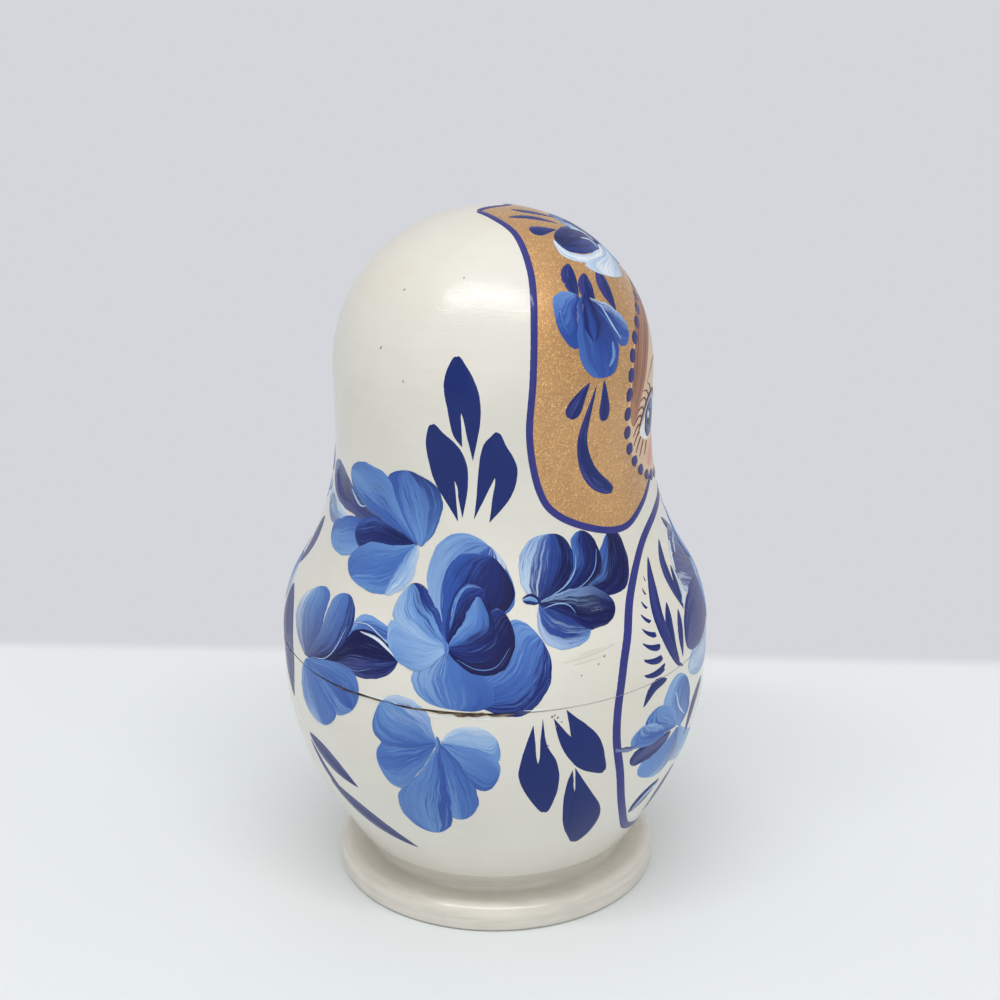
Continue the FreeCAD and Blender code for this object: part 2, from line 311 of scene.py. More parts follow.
class NodeSheet(Nodes):
    """A geometry node tree."""

    def __init__(self, name):
        self.tree = bpy.data.node_groups.new(name, "GeometryNodeTree")
        for way in ("INPUT", "OUTPUT"):
            self.tree.interface.new_socket("Geometry", in_out=way, socket_type="NodeSocketGeometry")
        self.sockets = {}

    def ask(self, name, kind, default=None):
        """A named input of the tree."""
        socket = self.tree.interface.new_socket(name, in_out="INPUT", socket_type=f"NodeSocket{kind}")
        if default is not None:
            socket.default_value = default
        self.sockets[name] = socket.identifier

    def begin(self):
        """The tree's input and output nodes, once its inputs are named."""
        self.given = self.node("NodeGroupInput").outputs
        self.result = self.node("NodeGroupOutput").inputs

    def named(self, name, kind):
        """The values of a named attribute."""
        return self.put("GeometryNodeInputNamedAttribute", {"Name": name}, data_type=kind)

    def mixed(self, share, what):
        """A value between two inputs of the tree, such as its first and last size."""
        ends = {2: self.given[f"First {what}"], 3: self.given[f"Last {what}"]}
        return self.put("ShaderNodeMix", {0: share, **ends}, data_type="FLOAT")

    def real(self, geometry):
        """Instances made real."""
        return self.put("GeometryNodeRealizeInstances", {0: geometry})


# Materials

class Finish(Nodes):
    """A material under way: its node tree and its main shader."""

    def __init__(self, name):
        self.material = bpy.data.materials.new(name)
        self.material.use_nodes = True
        self.tree = self.material.node_tree
        self.shader = self.tree.nodes["Principled BSDF"]

    def spread(self, value, low, high, to_low=0.0, to_high=1.0):
        """A value brought smoothly from one span to another."""
        span = dict(enumerate((value, low, high, to_low, to_high)))
        return self.put("ShaderNodeMapRange", span, interpolation_type="SMOOTHSTEP")

    def noise(self, vector, scale, detail=2.0, rough=0.5):
        """Soft noise over a set of coordinates."""
        return self.put("ShaderNodeTexNoise",
                        {"Vector": vector, "Scale": scale, "Detail": detail, "Roughness": rough}, "Fac")

    def object_place(self):
        """Object coordinates."""
        return self.node("ShaderNodeTexCoord").outputs["Object"]

    def stretched(self, vector, x, y, z):
        """Coordinates stretched along each axis."""
        return self.put("ShaderNodeMapping", {"Vector": vector, "Scale": (x, y, z)})

    def reach(self, vector, way):
        """How far a place lies along a way."""
        return self.put("ShaderNodeVectorMath", {0: vector, 1: way}, "Value", operation="DOT_PRODUCT")

    def blend(self, share, first, second, mode="MIX"):
        """One colour laid over another."""
        return self.put("ShaderNodeMix", {0: share, 6: first, 7: second}, 2,
                        data_type="RGBA", blend_type=mode)

    def attribute(self, name, output):
        """A named attribute of the mesh."""
        return self.node("ShaderNodeAttribute", attribute_name=name).outputs[output]

    def bump(self, height, strength, depth):
        """Fine relief, in the coat over the paint as well."""
        normal = self.put("ShaderNodeBump", {"Height": height, "Strength": strength, "Distance": depth})
        for socket in ("Normal", "Coat Normal"):
            self.feed(self.shader.inputs[socket], normal)

    def surface(self, colour, roughness, **plain):
        """What the shader gets: a colour, a roughness and plain values for its other sockets."""
        self.feed(self.shader.inputs["Base Color"], colour)
        self.feed(self.shader.inputs["Roughness"], roughness)
        for name, value in plain.items():
            title = name.replace("_", " ").title().replace("Ior", "IOR")
            self.shader.inputs[title].default_value = value
        return self.material


def shade(colour, amount):
    """A colour made darker or lighter by a share."""
    return tuple(min(1.0, value * amount) for value in colour)


MATERIALS = {}
# The side of the seam where its edge is rubbed to dark bare wood and painted darkest as shade of the gap, as
# a turn from the face.
BRUISING_AND_SHADE_TURN = math.radians(138.0)


def finish_named(name):
    """A material, made when it is first asked for."""
    if name not in MATERIALS:
        MATERIALS[name] = MAKERS[name](name)
    return MATERIALS[name]


def make_ground(name):
    """White ground under clear lacquer, a little uneven as brushed paint dries."""
    finish = Finish(name)
    place = finish.object_place()
    ground = tuple(colours().ground)
    cloudy = finish.noise(place, 38.0, 3.0, 0.55)
    brushed = finish.noise(finish.stretched(place, 1.0, 1.0, 9.0), 55.0, 4.0, 0.6)
    colour = finish.blend(finish.spread(cloudy, 0.35, 0.72), ground, shade(ground, 0.945))
    colour = finish.blend(finish.spread(brushed, 0.45, 0.75, 0.0, 0.35), colour, shade(ground, 0.9))
    yellowed = tuple(value * share for value, share in zip(ground, (0.96, 0.94, 0.86)))
    stains = finish.noise(place, 24.0, 5.0, 0.62)
    colour = finish.blend(finish.spread(stains, 0.48, 0.72, 0.0, 0.7), colour, yellowed)
    pores = finish.noise(place, 900.0, 2.0, 0.5)
    colour = finish.blend(finish.spread(pores, 0.74, 0.8, 0.0, 0.3), colour, shade(ground, 0.62))
    streaks = finish.noise(finish.stretched(place, 1.0, 1.0, 4.0), 900.0, 3.0, 0.65)
    ripple = finish.noise(place, 160.0, 2.0, 0.45)
    ripple = finish.math("ADD", ripple, finish.math("MULTIPLY", streaks, 1.1))
    finish.bump(ripple, 0.3, 0.14 * MM)
    rough = finish.spread(cloudy, 0.3, 0.7, 0.3, 0.42)
    return finish.surface(colour, rough, coat_weight=0.8, coat_roughness=0.045)


def make_foot(name):
    """The foot: a thin grey-white coat that lets the turned rings show."""
    finish = Finish(name)
    place = finish.object_place()
    foot = tuple(colours().foot)
    rings = finish.noise(finish.stretched(place, 1.0, 1.0, 14.0), 60.0, 4.0, 0.6)
    cloudy = finish.noise(place, 70.0, 3.0, 0.6)
    colour = finish.blend(finish.spread(rings, 0.35, 0.7), foot, shade(foot, 0.86))
    colour = finish.blend(finish.spread(cloudy, 0.5, 0.8, 0.0, 0.5), colour, shade(foot, 0.76))
    finish.bump(rings, 0.15, 0.2 * MM)
    return finish.surface(colour, 0.4, coat_weight=0.6, coat_roughness=0.16)


def make_wood(name):
    """Bare lime wood: pale long grain up the piece, and fine rings from the turning tool."""
    finish = Finish(name)
    place = finish.object_place()
    wood = tuple(colours().wood)
    grain = finish.noise(finish.stretched(place, 22.0, 22.0, 1.0), 26.0, 5.0, 0.62)
    pores = finish.noise(finish.stretched(place, 60.0, 60.0, 3.0), 40.0, 2.0, 0.5)
    colour = finish.blend(finish.spread(grain, 0.3, 0.75), shade(wood, 1.08), shade(wood, 0.78))
    colour = finish.blend(finish.spread(pores, 0.6, 0.75, 0.0, 0.4), colour, shade(wood, 0.55))
    rings = finish.put("ShaderNodeTexWave", {"Vector": place, "Scale": 420.0, "Distortion": 1.2}, "Fac",
                       wave_type="BANDS", bands_direction="Z")
    finish.bump(rings, 0.35, 0.15 * MM)
    return finish.surface(colour, finish.spread(grain, 0.3, 0.8, 0.55, 0.72))


def make_seam_wear_and_shade(name):
    """The rim where the two halves meet, with painted shade of the crevice: bruising and dark bare wood on
    one side, the ground darkened on the other.
    """
    finish = Finish(name)
    place = finish.object_place()
    rubbed_and_shaded, ground = tuple(colours().rubbed_and_shaded), tuple(colours().ground)
    patches = finish.noise(place, 320.0, 3.0, 0.6)
    dark = finish.blend(finish.spread(patches, 0.4, 0.65), rubbed_and_shaded, shade(tuple(colours().wood), 0.3))
    flat = finish.put("ShaderNodeVectorMath", {0: place, 1: (1.0, 1.0, 0.0)}, operation="MULTIPLY")
    level = finish.put("ShaderNodeVectorMath", {0: flat}, operation="NORMALIZE")
    toward = finish.reach(level, (-math.sin(BRUISING_AND_SHADE_TURN), -math.cos(BRUISING_AND_SHADE_TURN), 0.0))
    clouds = finish.noise(place, 90.0, 3.0, 0.6)
    bruising_and_shade = finish.math("ADD", toward, finish.math("MULTIPLY", clouds, 0.5))
    # Painted shade in the crevice: the ground at 72 per cent on the painted side, and dark wood on the
    # other.
    colour = finish.blend(finish.spread(bruising_and_shade, 0.85, 1.15), shade(ground, 0.72), dark)
    finish.bump(patches, 0.3, 0.2 * MM)
    return finish.surface(colour, 0.7)


# Turned shells

GROUND, FOOT, WOOD, SEAM_WEAR_AND_SHADE = range(4)
SHELL_FINISHES = ("lacquered_ground", "lacquered_foot", "turned_lime_wood", "seam_edge_wear_and_shade")
# How far from the seam the edge of rubbed wood and painted crevice shade reaches, and the angle from which
# an edge of a shell is sharp.
SEAM_EDGE = 0.2 * MM
SHARP_ANGLE = math.radians(24)


def profile_of(node):
    """A piece's whole outline from axis to axis, and the finish of each stretch of it."""
    outline = turned_outline(node)
    shown = len(outside_part(node))
    seam = seam_of(node)
    profile = np.vstack(((0.0, outline[0, 1]), outline, (0.0, outline[-1, 1])))
    last = len(profile) - 2
    finishes = []
    for index in range(last + 1):
        middle = (profile[index, 1] + profile[index + 1, 1]) / 2
        if index == 0 and node.endswith("lower_half") or node == "seventh_doll" and index == last:
            finishes.append(WOOD)
        # The rounded edges at the seam: rubbed wood, with painted shade of the crevice.
        elif seam is not None and abs(middle - seam) < SEAM_EDGE:
            finishes.append(SEAM_WEAR_AND_SHADE)
        elif index > shown:
            finishes.append(WOOD)
        elif node == "outer_lower_half" and middle < STAND * MM:
            finishes.append(FOOT)
        else:
            finishes.append(GROUND)
    return profile, finishes


def turning_tree():
    """Spins a profile about the vertical axis and gives each stretch of it its finish."""
    sheet = NodeSheet("turning")
    sheet.ask("Steps", "Int", 128)
    for name in SHELL_FINISHES:
        sheet.ask(name, "Material")
    sheet.begin()
    profile, steps = sheet.given["Geometry"], sheet.given["Steps"]

    rows = sheet.put("GeometryNodeAttributeDomainSize", {0: profile}, "Point Count", component="MESH")
    rings = sheet.math("ADD", steps, 1)
    grid = sheet.put("GeometryNodeMeshGrid", {"Vertices X": rows, "Vertices Y": rings}, "Mesh")
    index = sheet.node("GeometryNodeInputIndex").outputs[0]

    def row_in(count):
        return sheet.math("FLOOR", sheet.math("DIVIDE", sheet.math("ADD", index, 0.5), count))

    row = row_in(rings)
    step = sheet.math("SUBTRACT", index, sheet.math("MULTIPLY", row, rings))
    turn = sheet.math("DIVIDE", sheet.math("MULTIPLY", step, 2 * math.pi), steps)
    position = sheet.node("GeometryNodeInputPosition").outputs[0]
    place = sheet.put("GeometryNodeSampleIndex", {"Geometry": profile, "Value": position, "Index": row},
                      data_type="FLOAT_VECTOR", domain="POINT")
    apart = sheet.node("ShaderNodeSeparateXYZ")
    sheet.feed(apart.inputs[0], place)
    radius, height = apart.outputs[0], apart.outputs[2]
    across, aside = (sheet.math("MULTIPLY", radius, sheet.math(way, turn)) for way in ("COSINE", "SINE"))
    whole = sheet.put("ShaderNodeCombineXYZ", {0: across, 1: aside, 2: height})
    made = sheet.put("GeometryNodeSetPosition", {"Geometry": grid, "Position": whole})

    number = sheet.named("finish", "INT")
    face_row = row_in(steps)
    kind = sheet.put("GeometryNodeSampleIndex", {"Geometry": profile, "Value": number, "Index": face_row},
                     data_type="INT", domain="POINT")
    kept = sheet.put("GeometryNodeStoreNamedAttribute",
                     {"Geometry": made, "Name": "finish", "Value": kind}, data_type="INT", domain="FACE")
    made = sheet.real(kept)
    for value, name in enumerate(SHELL_FINISHES):
        same = sheet.put("FunctionNodeCompare", {2: number, 3: value}, data_type="INT", operation="EQUAL")
        made = sheet.put("GeometryNodeSetMaterial",
                         {"Geometry": made, "Selection": same, "Material": sheet.given[name]})
    sheet.feed(sheet.result[0], made)
    return sheet


def plain_mesh(obj, sheet, settings):
    """The mesh that a tree makes of an object, with the tree's inputs set first."""
    modifier = obj.modifiers.new(sheet.tree.name, "NODES")
    modifier.node_group = sheet.tree
    for name, value in settings.items():
        modifier[sheet.sockets[name]] = value
    bpy.context.view_layer.update()
    evaluated = obj.evaluated_get(bpy.context.evaluated_depsgraph_get())
    mesh = bpy.data.meshes.new_from_object(evaluated)
    bpy.data.objects.remove(obj)
    return mesh


def linked(name, data):
    """A new object for a mesh, a lamp or a camera, in the scene."""
    obj = bpy.data.objects.new(name, data)
    bpy.context.scene.collection.objects.link(obj)
    return obj


def soften(mesh):
    """Smooth shading over a whole mesh."""
    mesh.polygons.foreach_set("use_smooth", [True] * len(mesh.polygons))


def closed(mesh):
    """A mesh with its doubles merged, its flat slivers gone and its faces outward."""
    work = bmesh.new()
    work.from_mesh(mesh)
    bmesh.ops.remove_doubles(work, verts=work.verts, dist=WELD)
    bmesh.ops.dissolve_degenerate(work, edges=work.edges, dist=WELD / 10)
    bmesh.ops.recalc_face_normals(work, faces=work.faces)
    work.to_mesh(mesh)
    work.free()
    return mesh


def turn_shell(node, sheet):
    """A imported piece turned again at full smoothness, with its finishes."""
    profile, finishes = profile_of(node)
    points = [(radius, 0.0, height) for radius, height in profile]
    outline = bpy.data.meshes.new(f"{node}_outline")
    outline.from_pydata(points, [(i, i + 1) for i in range(len(points) - 1)], [])
    kinds = outline.attributes.new("finish", "INT", "POINT")
    kinds.data.foreach_set("value", finishes + [finishes[-1]])
    settings = {name: finish_named(name) for name in SHELL_FINISHES}
    settings["Steps"] = sizes().spin_steps if node.startswith("outer") else sizes().inner_steps
    mesh = closed(plain_mesh(linked(f"{node}_profile", outline), sheet, settings))
    soften(mesh)
    mesh.set_sharp_from_angle(angle=SHARP_ANGLE)
    shell = linked(f"{node}_turned", mesh)
    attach(shell, body_for(node))
    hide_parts(node)
    return shell


class TurnShells(bpy.types.Operator):
    """Turn the thirteen wooden pieces."""
    bl_idname = "nesting_doll.turn_shells"
    bl_label = "Turn the shells"

    def execute(self, context):
        sheet = turning_tree()
        for doll in DOLLS:
            for node in halves(doll):
                turn_shell(node, sheet)
        return {"FINISHED"}


# Brush work

# Steps between two places of a path, the rounded rim of a stroke and its widest share of a thin stroke,
# how far a rim dips into the wood, and how far a drawn edge strays: a petal's, and a leaf's.
SPAN_STEPS = 14
RIM = 0.11 * MM
RIM_SHARE = 0.24
EDGE_SINK = 0.012 * MM
SHAKE = 0.28 * MM
LEAF_SHAKE = 0.06 * MM

# The fewest steps along a petal and along a pull, and the steps for each cell of their length. The steps
# crowd at both ends, and all the way in a pull that is shorter than this many cells.
PETAL_STEPS, PETAL_RATE = 6, 1.15
PULL_STEPS, PULL_RATE = 12, 1.2
CROWDING = 0.45
SHORT_PULL = 24

# Where each next stroke starts in the noise of the brush's hairs, in millimetres.
GRAIN_STEP, GRAIN_START = 1.37, 0.61

# Facets grow less than the dolls do: the power of a doll's share for its strokes, and for its panels.
STROKE_POWER, PANEL_POWER = 0.8, 0.45

TONE_LAYERS = ("tone_first", "tone_middle", "tone_second")


def smooth_path(points, around=False):
    """A smooth line through given places, in steps fine enough to measure along."""
    points = np.asarray(points, dtype=float)
    if around:
        points = np.vstack((points[-1:], points, points[:2]))
    else:
        points = np.vstack((2 * points[0] - points[1], points, 2 * points[-1] - points[-2]))
    share = np.linspace(0, 1, SPAN_STEPS, endpoint=False)[:, None]
    spans = []
    for before, start, end, after in zip(points, points[1:], points[2:], points[3:]):
        spans.append(0.5 * (2 * start + (end - before) * share
                            + (2 * before - 5 * start + 4 * end - after) * share ** 2
                            + (3 * start - before - 3 * end + after) * share ** 3))
    return np.vstack(spans + [points[-2:-1]])


def run_of(line):
    """How far along a line each of its places lies."""
    return np.concatenate(((0.0,), np.cumsum(np.linalg.norm(np.diff(line, axis=0), axis=1))))


def along(line, shares):
    """Places at given shares of a line's length."""
    run = run_of(line)
    return np.stack([np.interp(shares * run[-1], run, line[:, axis]) for axis in range(3)], axis=-1)


def length_of(line):
    """How long a line is."""
    return float(np.linalg.norm(np.diff(line, axis=0), axis=1).sum())


def leaf_form(share):
    """Half-width of a leaf blade, pointed at both ends and fullest before the middle."""
    return np.sin(np.pi * share ** 0.85) ** 0.85


def comma_form(share):
    """Half-width of a comma: a round head that runs out to a point."""
    head = np.clip(share / 0.22, 0, 1)
    return np.sqrt(head * (2 - head)) * (1 - share) ** 0.6


def drop_form(share):
    """Half-width of a drop: pointed where it starts, round where it ends."""
    return share ** 0.8 * np.sqrt(np.clip(1 - ((share - 0.62) / 0.38).clip(0) ** 2, 0, 1))


def band_form(share):
    """Half-width of a drawn line with round ends."""
    end = np.minimum(share, 1 - share) / 0.012
    return np.sqrt(np.clip(end * (2 - end), 0, 1) * (end < 1) + (end >= 1))


def streak_form(share):
    """Half-width of a thin light line, tapered at both ends."""
    return np.sin(np.pi * share) ** 0.6


def dot_form(share):
    """Half-width of a dot, oval or round."""
    return np.sqrt(np.clip(1 - (2 * share - 1) ** 2, 0, 1))


FORMS = {
    "dot": dot_form, "leaf": leaf_form, "comma": comma_form,
    "drop": drop_form, "band": band_form, "streak": streak_form,
}


class Coat:
    """The strokes laid on one doll with one paint, gathered until they are made into pieces."""

    def __init__(self, skin):
        self.skin = skin
        self.cell = sizes().brush_cell * skin.share ** STROKE_POWER
        self.strokes = []

    def lay(self, first, second, tones, coat):
        """A stroke between two edges that start together and end together."""
        skin = self.skin
        wide = max(np.linalg.norm(first - second, axis=1).max(), RIM)
        count = max(2, int(math.ceil(wide / self.cell)) + 1)
        rim = min(RIM_SHARE, RIM * skin.share ** 0.5 / wide)
        across = np.concatenate(((0.0,), np.linspace(rim, 1 - rim, count), (1.0,)))
        sheet = first[:, None] + (second - first)[:, None] * across[None, :, None]
        place, normal = skin.drape(sheet)
        self.strokes.append(stroke_of(skin, place, normal, across, coat, tones, len(self.strokes)))

    def petal(self, tones, tip, outline, coat=0, shake=SHAKE):
        """A petal drawn round once from the heart, with the place in its outline where the tip is."""
        around = smooth_path(self.skin.places(outline))
        first = self.skin.drape(around[:tip * SPAN_STEPS + 1])[0]
        second = self.skin.drape(around[tip * SPAN_STEPS:][::-1])[0]
        reach = max(length_of(first), length_of(second)) / self.cell
        shares = eased(max(PETAL_STEPS, int(reach * PETAL_RATE)))
        first, second = along(first, shares), along(second, shares)
        aside = first - second
        aside /= np.maximum(np.linalg.norm(aside, axis=1, keepdims=True), WELD)
        amount = (shake * self.skin.share * np.sin(np.pi * shares) ** 0.6)[:, None] * aside
        seed = len(self.strokes)
        first = first + amount * shaken(shares, seed)[:, None]
        second = second - amount * shaken(shares, seed + 0.5)[:, None]
        self.lay(first, second, tones, coat)

    def pull(self, tones, width, path, form="leaf", coat=0):
        """One pull of the brush along a path, in millimetres wide."""
        line = self.skin.drape(smooth_path(self.skin.places(path)))[0]
        reach = length_of(line) / self.cell
        shares = eased(max(PULL_STEPS, int(reach * PULL_RATE)), 1.0 if reach < SHORT_PULL else CROWDING)
        centre, normal = self.skin.drape(along(line, shares))
        ahead = np.gradient(centre, axis=0)
        aside = np.cross(normal, ahead)
        aside /= np.maximum(np.linalg.norm(aside, axis=1, keepdims=True), WELD ** 2)
        half = FORMS[form](shares)[:, None] * width / 2 * MM * self.skin.share
        half[0] = half[-1] = 0
        self.lay(centre + aside * half, centre - aside * half, tones, coat)

    def petals(self, tones, tip, outline, coat):
        """The same petal on both sides of the face."""
        for line in both_sides(outline):
            self.petal(tones, tip, line, coat)

    def pulls(self, tones, width, path, form="leaf", coat=0):
        """The same pull on both sides of the face."""
        for line in both_sides(path):
            self.pull(tones, width, line, form, coat)

    def pieces(self, name, material, slot="blue_paint"):
        """One mesh for each half that the strokes lie on, cut through at the seam."""
        skin = self.skin
        gap = sizes().seam_break / 2
        nodes = halves(skin.doll)
        parts = ((nodes[0], -1.0, skin.seam - gap), (nodes[-1], 1.0, skin.seam + gap))[:len(nodes)]
        for node, side, limit in parts:
            body = body_for(node)
            chosen = [stroke for stroke in self.strokes
                      if (stroke["points"][:, 2] * side).max() > limit * side]
            if not chosen:
                continue
            mesh = joined_strokes(f"{body}_{name}", chosen)
            if len(parts) == 2:
                cut_at(mesh, limit, side)
            mesh.materials.append(finish_named(material))
            soften(mesh)
            piece = linked(f"{body}_{name}", mesh)
            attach(piece, body)


def proud(skin, coat):
    """How far a stroke stands proud of the wood."""
    return (sizes().paint_rise + sizes().coat_rise * coat) * skin.share ** 0.5


def stroke_of(skin, place, normal, across, coat, tones, number):
    """A closed stroke over a sheet of places: rounded down at its rim and pointed at both ends."""
    rows, columns = place.shape[:2]
    middle = columns // 2
    rise = np.full((rows, columns), proud(skin, coat))
    rise[:, 0] = rise[:, -1] = -EDGE_SINK
    rise[0] = rise[-1] = -EDGE_SINK
    top = place + normal * rise[..., None]
    wide = np.linalg.norm(place[:, -1] - place[:, 0], axis=1).max()
    run = run_of(place[:, middle])
    run_share = run / max(run[-1], WELD)
    seed = (number * GRAIN_STEP + GRAIN_START) * MM
    grain = np.stack((np.repeat(run[:, None], columns, 1), np.repeat(across[None] * wide, rows, 0),
                      np.full((rows, columns), seed)), axis=-1) / skin.share
    fan = np.stack((np.repeat(across[None], rows, 0), np.repeat(run_share[:, None], columns, 1)), axis=-1)
    points, grain, fan = (
        np.vstack((sheet[:1, middle], sheet[1:-1].reshape(-1, sheet.shape[-1]), sheet[-1:, middle]))
        for sheet in (top, grain, fan))
    faces = sheet_faces(rows - 2, columns)
    upward = np.cross(np.diff(place.mean(axis=1), axis=0), (place[:, -1] - place[:, 0])[:-1])
    if (upward * normal.mean(axis=1)[:-1]).sum() < 0:
        faces = [face[::-1] for face in faces]
    return stroke_made(points, faces, grain, fan, tones)


def stroke_made(points, faces, grain, fan, tones):
    """A stroke's mesh, with what the paint reads of it."""
    return {"points": points, "faces": faces, "grain": grain, "fan": fan[:, 0],
            "tones": tone_rows(tones, fan[:, 1])}


def eased(count, crowding=CROWDING):
    """Shares from 0 to 1 that crowd at both ends."""
    share = np.linspace(0, 1, count + 1)
    return (1 - crowding) * share + crowding * (0.5 - 0.5 * np.cos(np.pi * share))


def shaken(shares, seed):
    """The small unevenness of a hand-drawn edge."""
    waves = ((2.0, 0.42), (3.7, 0.3), (6.3, 0.26), (10.9, 0.2))
    return sum(size * np.sin(2 * np.pi * rate * shares + seed * (1.7 + rate)) for rate, size in waves)


def sheet_faces(rows, columns):
    """Faces of a closed stroke: a start point, rows of columns and an end point, and its underside."""
    start, end = 0, rows * columns + 1
    last = columns - 1

    def at(row, column):
        return 1 + row * columns + column

    faces = []
    for row in range(rows - 1):
        for column in range(last):
            faces.append((at(row, column), at(row + 1, column),
                          at(row + 1, column + 1), at(row, column + 1)))
        faces.append((at(row, last), at(row + 1, last), at(row + 1, 0), at(row, 0)))
    for column in range(last):
        faces.append((start, at(0, column), at(0, column + 1)))
        faces.append((at(rows - 1, column), end, at(rows - 1, column + 1)))
    faces.append((start, at(0, last), at(0, 0)))
    faces.append((at(rows - 1, last), end, at(rows - 1, 0)))
    return faces


def tone_rows(tones, shares):
    """The first-edge, middle and second-edge colour at each point, from the heart to the tip."""
    heart, _, tip = tones.partition(" > ")
    starts = [BRUSH_TONES[word] for word in heart.split()]
    ends = [BRUSH_TONES[word] for word in (tip or heart).split()]
    shares = shares[:, None]
    return [np.array([start]) * (1 - shares) + np.array([end]) * shares
            for start, end in zip(starts, ends)]


def joined_strokes(name, strokes):
    """One mesh of many closed strokes, with what the paint reads of them."""
    faces = []
    offset = 0
    for stroke in strokes:
        faces.extend(tuple(index + offset for index in face) for face in stroke["faces"])
        offset += len(stroke["points"])
    mesh = bpy.data.meshes.new(name)
    mesh.from_pydata(np.vstack([stroke["points"] for stroke in strokes]).tolist(), [], faces)
    layer = mesh.attributes.new("grain", "FLOAT_VECTOR", "POINT")
    layer.data.foreach_set("vector", np.vstack([stroke["grain"] for stroke in strokes]).ravel())
    layer = mesh.attributes.new("fan", "FLOAT", "POINT")
    layer.data.foreach_set("value", np.concatenate([stroke["fan"] for stroke in strokes]))
    for number, word in enumerate(TONE_LAYERS):
        colour = np.vstack([stroke["tones"][number] for stroke in strokes])
        layer = mesh.attributes.new(word, "FLOAT_COLOR", "POINT")
        layer.data.foreach_set("color", np.hstack((colour, np.ones((len(colour), 1)))).ravel())
    return mesh


def cut_at(mesh, height, side):
    """Keeps what lies above (side 1) or below (side -1) a height, and closes the cut."""
    work = bmesh.new()
    work.from_mesh(mesh)
    geometry = work.verts[:] + work.edges[:] + work.faces[:]
    bmesh.ops.bisect_plane(work, geom=geometry, dist=WELD, plane_co=(0, 0, height), plane_no=(0, 0, side),
                           clear_inner=True)
    bmesh.ops.holes_fill(work, edges=[edge for edge in work.edges if edge.is_boundary], sides=0)
    work.to_mesh(mesh)
    work.free()


# How far apart in the noise two strokes lie, and what both paints have of gloss.
STROKES_APART = 4000.0
PAINT_ROUGH = 0.4
PAINT_GLOSS = {"specular_ior_level": 0.1, "coat_weight": 0.35, "coat_roughness": 0.1}


def side_by_side(finish, wobbles, low, high):
    """The three tones of a stroke side by side, drawn into one another by noise."""
    place = finish.attribute("fan", "Fac")
    for noise, amount in wobbles:
        shift = finish.math("MULTIPLY", finish.math("SUBTRACT", noise, 0.5), amount)
        place = finish.math("ADD", place, shift)
    first, middle, second = (finish.attribute(layer, "Color") for layer in TONE_LAYERS)
    colour = finish.blend(finish.spread(place, low, high), first, middle)
    return finish.blend(finish.spread(place, 1 - high, 1 - low), colour, second)


def brush_noise(finish, along_it, across_it, detail, rough):
    """Noise drawn out along a stroke, and different in every stroke."""
    grain = finish.stretched(finish.attribute("grain", "Vector"), along_it, across_it, STROKES_APART)
    return finish.noise(grain, 1.0, detail, rough)


def make_brush(name):
    """Brushed paint: the tones loaded on the brush drawn out side by side, under lacquer."""
    finish = Finish(name)
    broad = brush_noise(finish, 50.0, 520.0, 3.0, 0.6)
    hairs = brush_noise(finish, 130.0, 1900.0, 4.0, 0.66)
    fine = brush_noise(finish, 130.0, 4200.0, 2.0, 0.6)
    colour = side_by_side(finish, ((broad, 1.0), (hairs, 1.3)), 0.08, 0.46)
    lighter = finish.blend(1.0, colour, (0.055, 0.085, 0.11), "ADD")
    colour = finish.blend(finish.spread(hairs, 0.54, 0.72, 0.0, 0.65), colour, lighter)
    for noise, low, high, amount in ((hairs, 0.46, 0.32, 0.55), (fine, 0.35, 0.7, 0.3)):
        deeper = finish.blend(1.0, colour, (0.5, 0.56, 0.68), "MULTIPLY")
        colour = finish.blend(finish.spread(noise, low, high, 0.0, amount), colour, deeper)
    finish.bump(finish.math("ADD", fine, finish.math("MULTIPLY", hairs, 1.5)), 0.35, 0.06 * MM)
    return finish.surface(colour, PAINT_ROUGH, **PAINT_GLOSS)


def make_gold(name):
    """Bronze powder in varnish: flakes that glint one by one, as painted glints and painted shade in the
    colour of single flakes.
    """
    finish = Finish(name)
    place = finish.object_place()
    gold = tuple(colours().gold)
    flake = finish.put("ShaderNodeTexVoronoi", {"Vector": place, "Scale": 4300.0}, "Color", feature="F1")
    glint = finish.node("ShaderNodeSeparateColor")
    finish.feed(glint.inputs[0], flake)
    cloudy = finish.noise(place, 120.0, 3.0, 0.6)
    colour = finish.blend(finish.spread(cloudy, 0.3, 0.7), shade(gold, 0.92), shade(gold, 1.08))
    # Painted glints: some flakes get twice the gold's colour; painted shade: others get a darker copy of it.
    colour = finish.blend(finish.spread(glint.outputs[0], 0.7, 1.0, 0.0, 0.75), colour, shade(gold, 2.0))
    colour = finish.blend(finish.spread(glint.outputs[1], 0.74, 1.0, 0.0, 0.4), colour, shade(gold, 0.6))
    finish.bump(glint.outputs[2], 0.25, 0.05 * MM)
    return finish.surface(colour, finish.spread(glint.outputs[1], 0.0, 1.0, 0.26, 0.5),
                          metallic=0.6, coat_weight=0.5, coat_roughness=0.18)


def make_even_paint(name):
    """Even paint of one colour at each place: the drawn lines, the dots, the leaves and the face."""
    finish = Finish(name)
    soft = brush_noise(finish, 90.0, 700.0, 3.0, 0.6)
    colour = side_by_side(finish, ((soft, 0.5),), 0.05, 0.45)
    uneven = finish.noise(finish.object_place(), 260.0, 3.0, 0.55)
    deeper = finish.blend(1.0, colour, (0.84, 0.85, 0.88), "MULTIPLY")
    colour = finish.blend(finish.spread(uneven, 0.35, 0.7, 0.0, 0.6), colour, deeper)
    finish.bump(soft, 0.25, 0.06 * MM)
    return finish.surface(colour, PAINT_ROUGH, **PAINT_GLOSS)


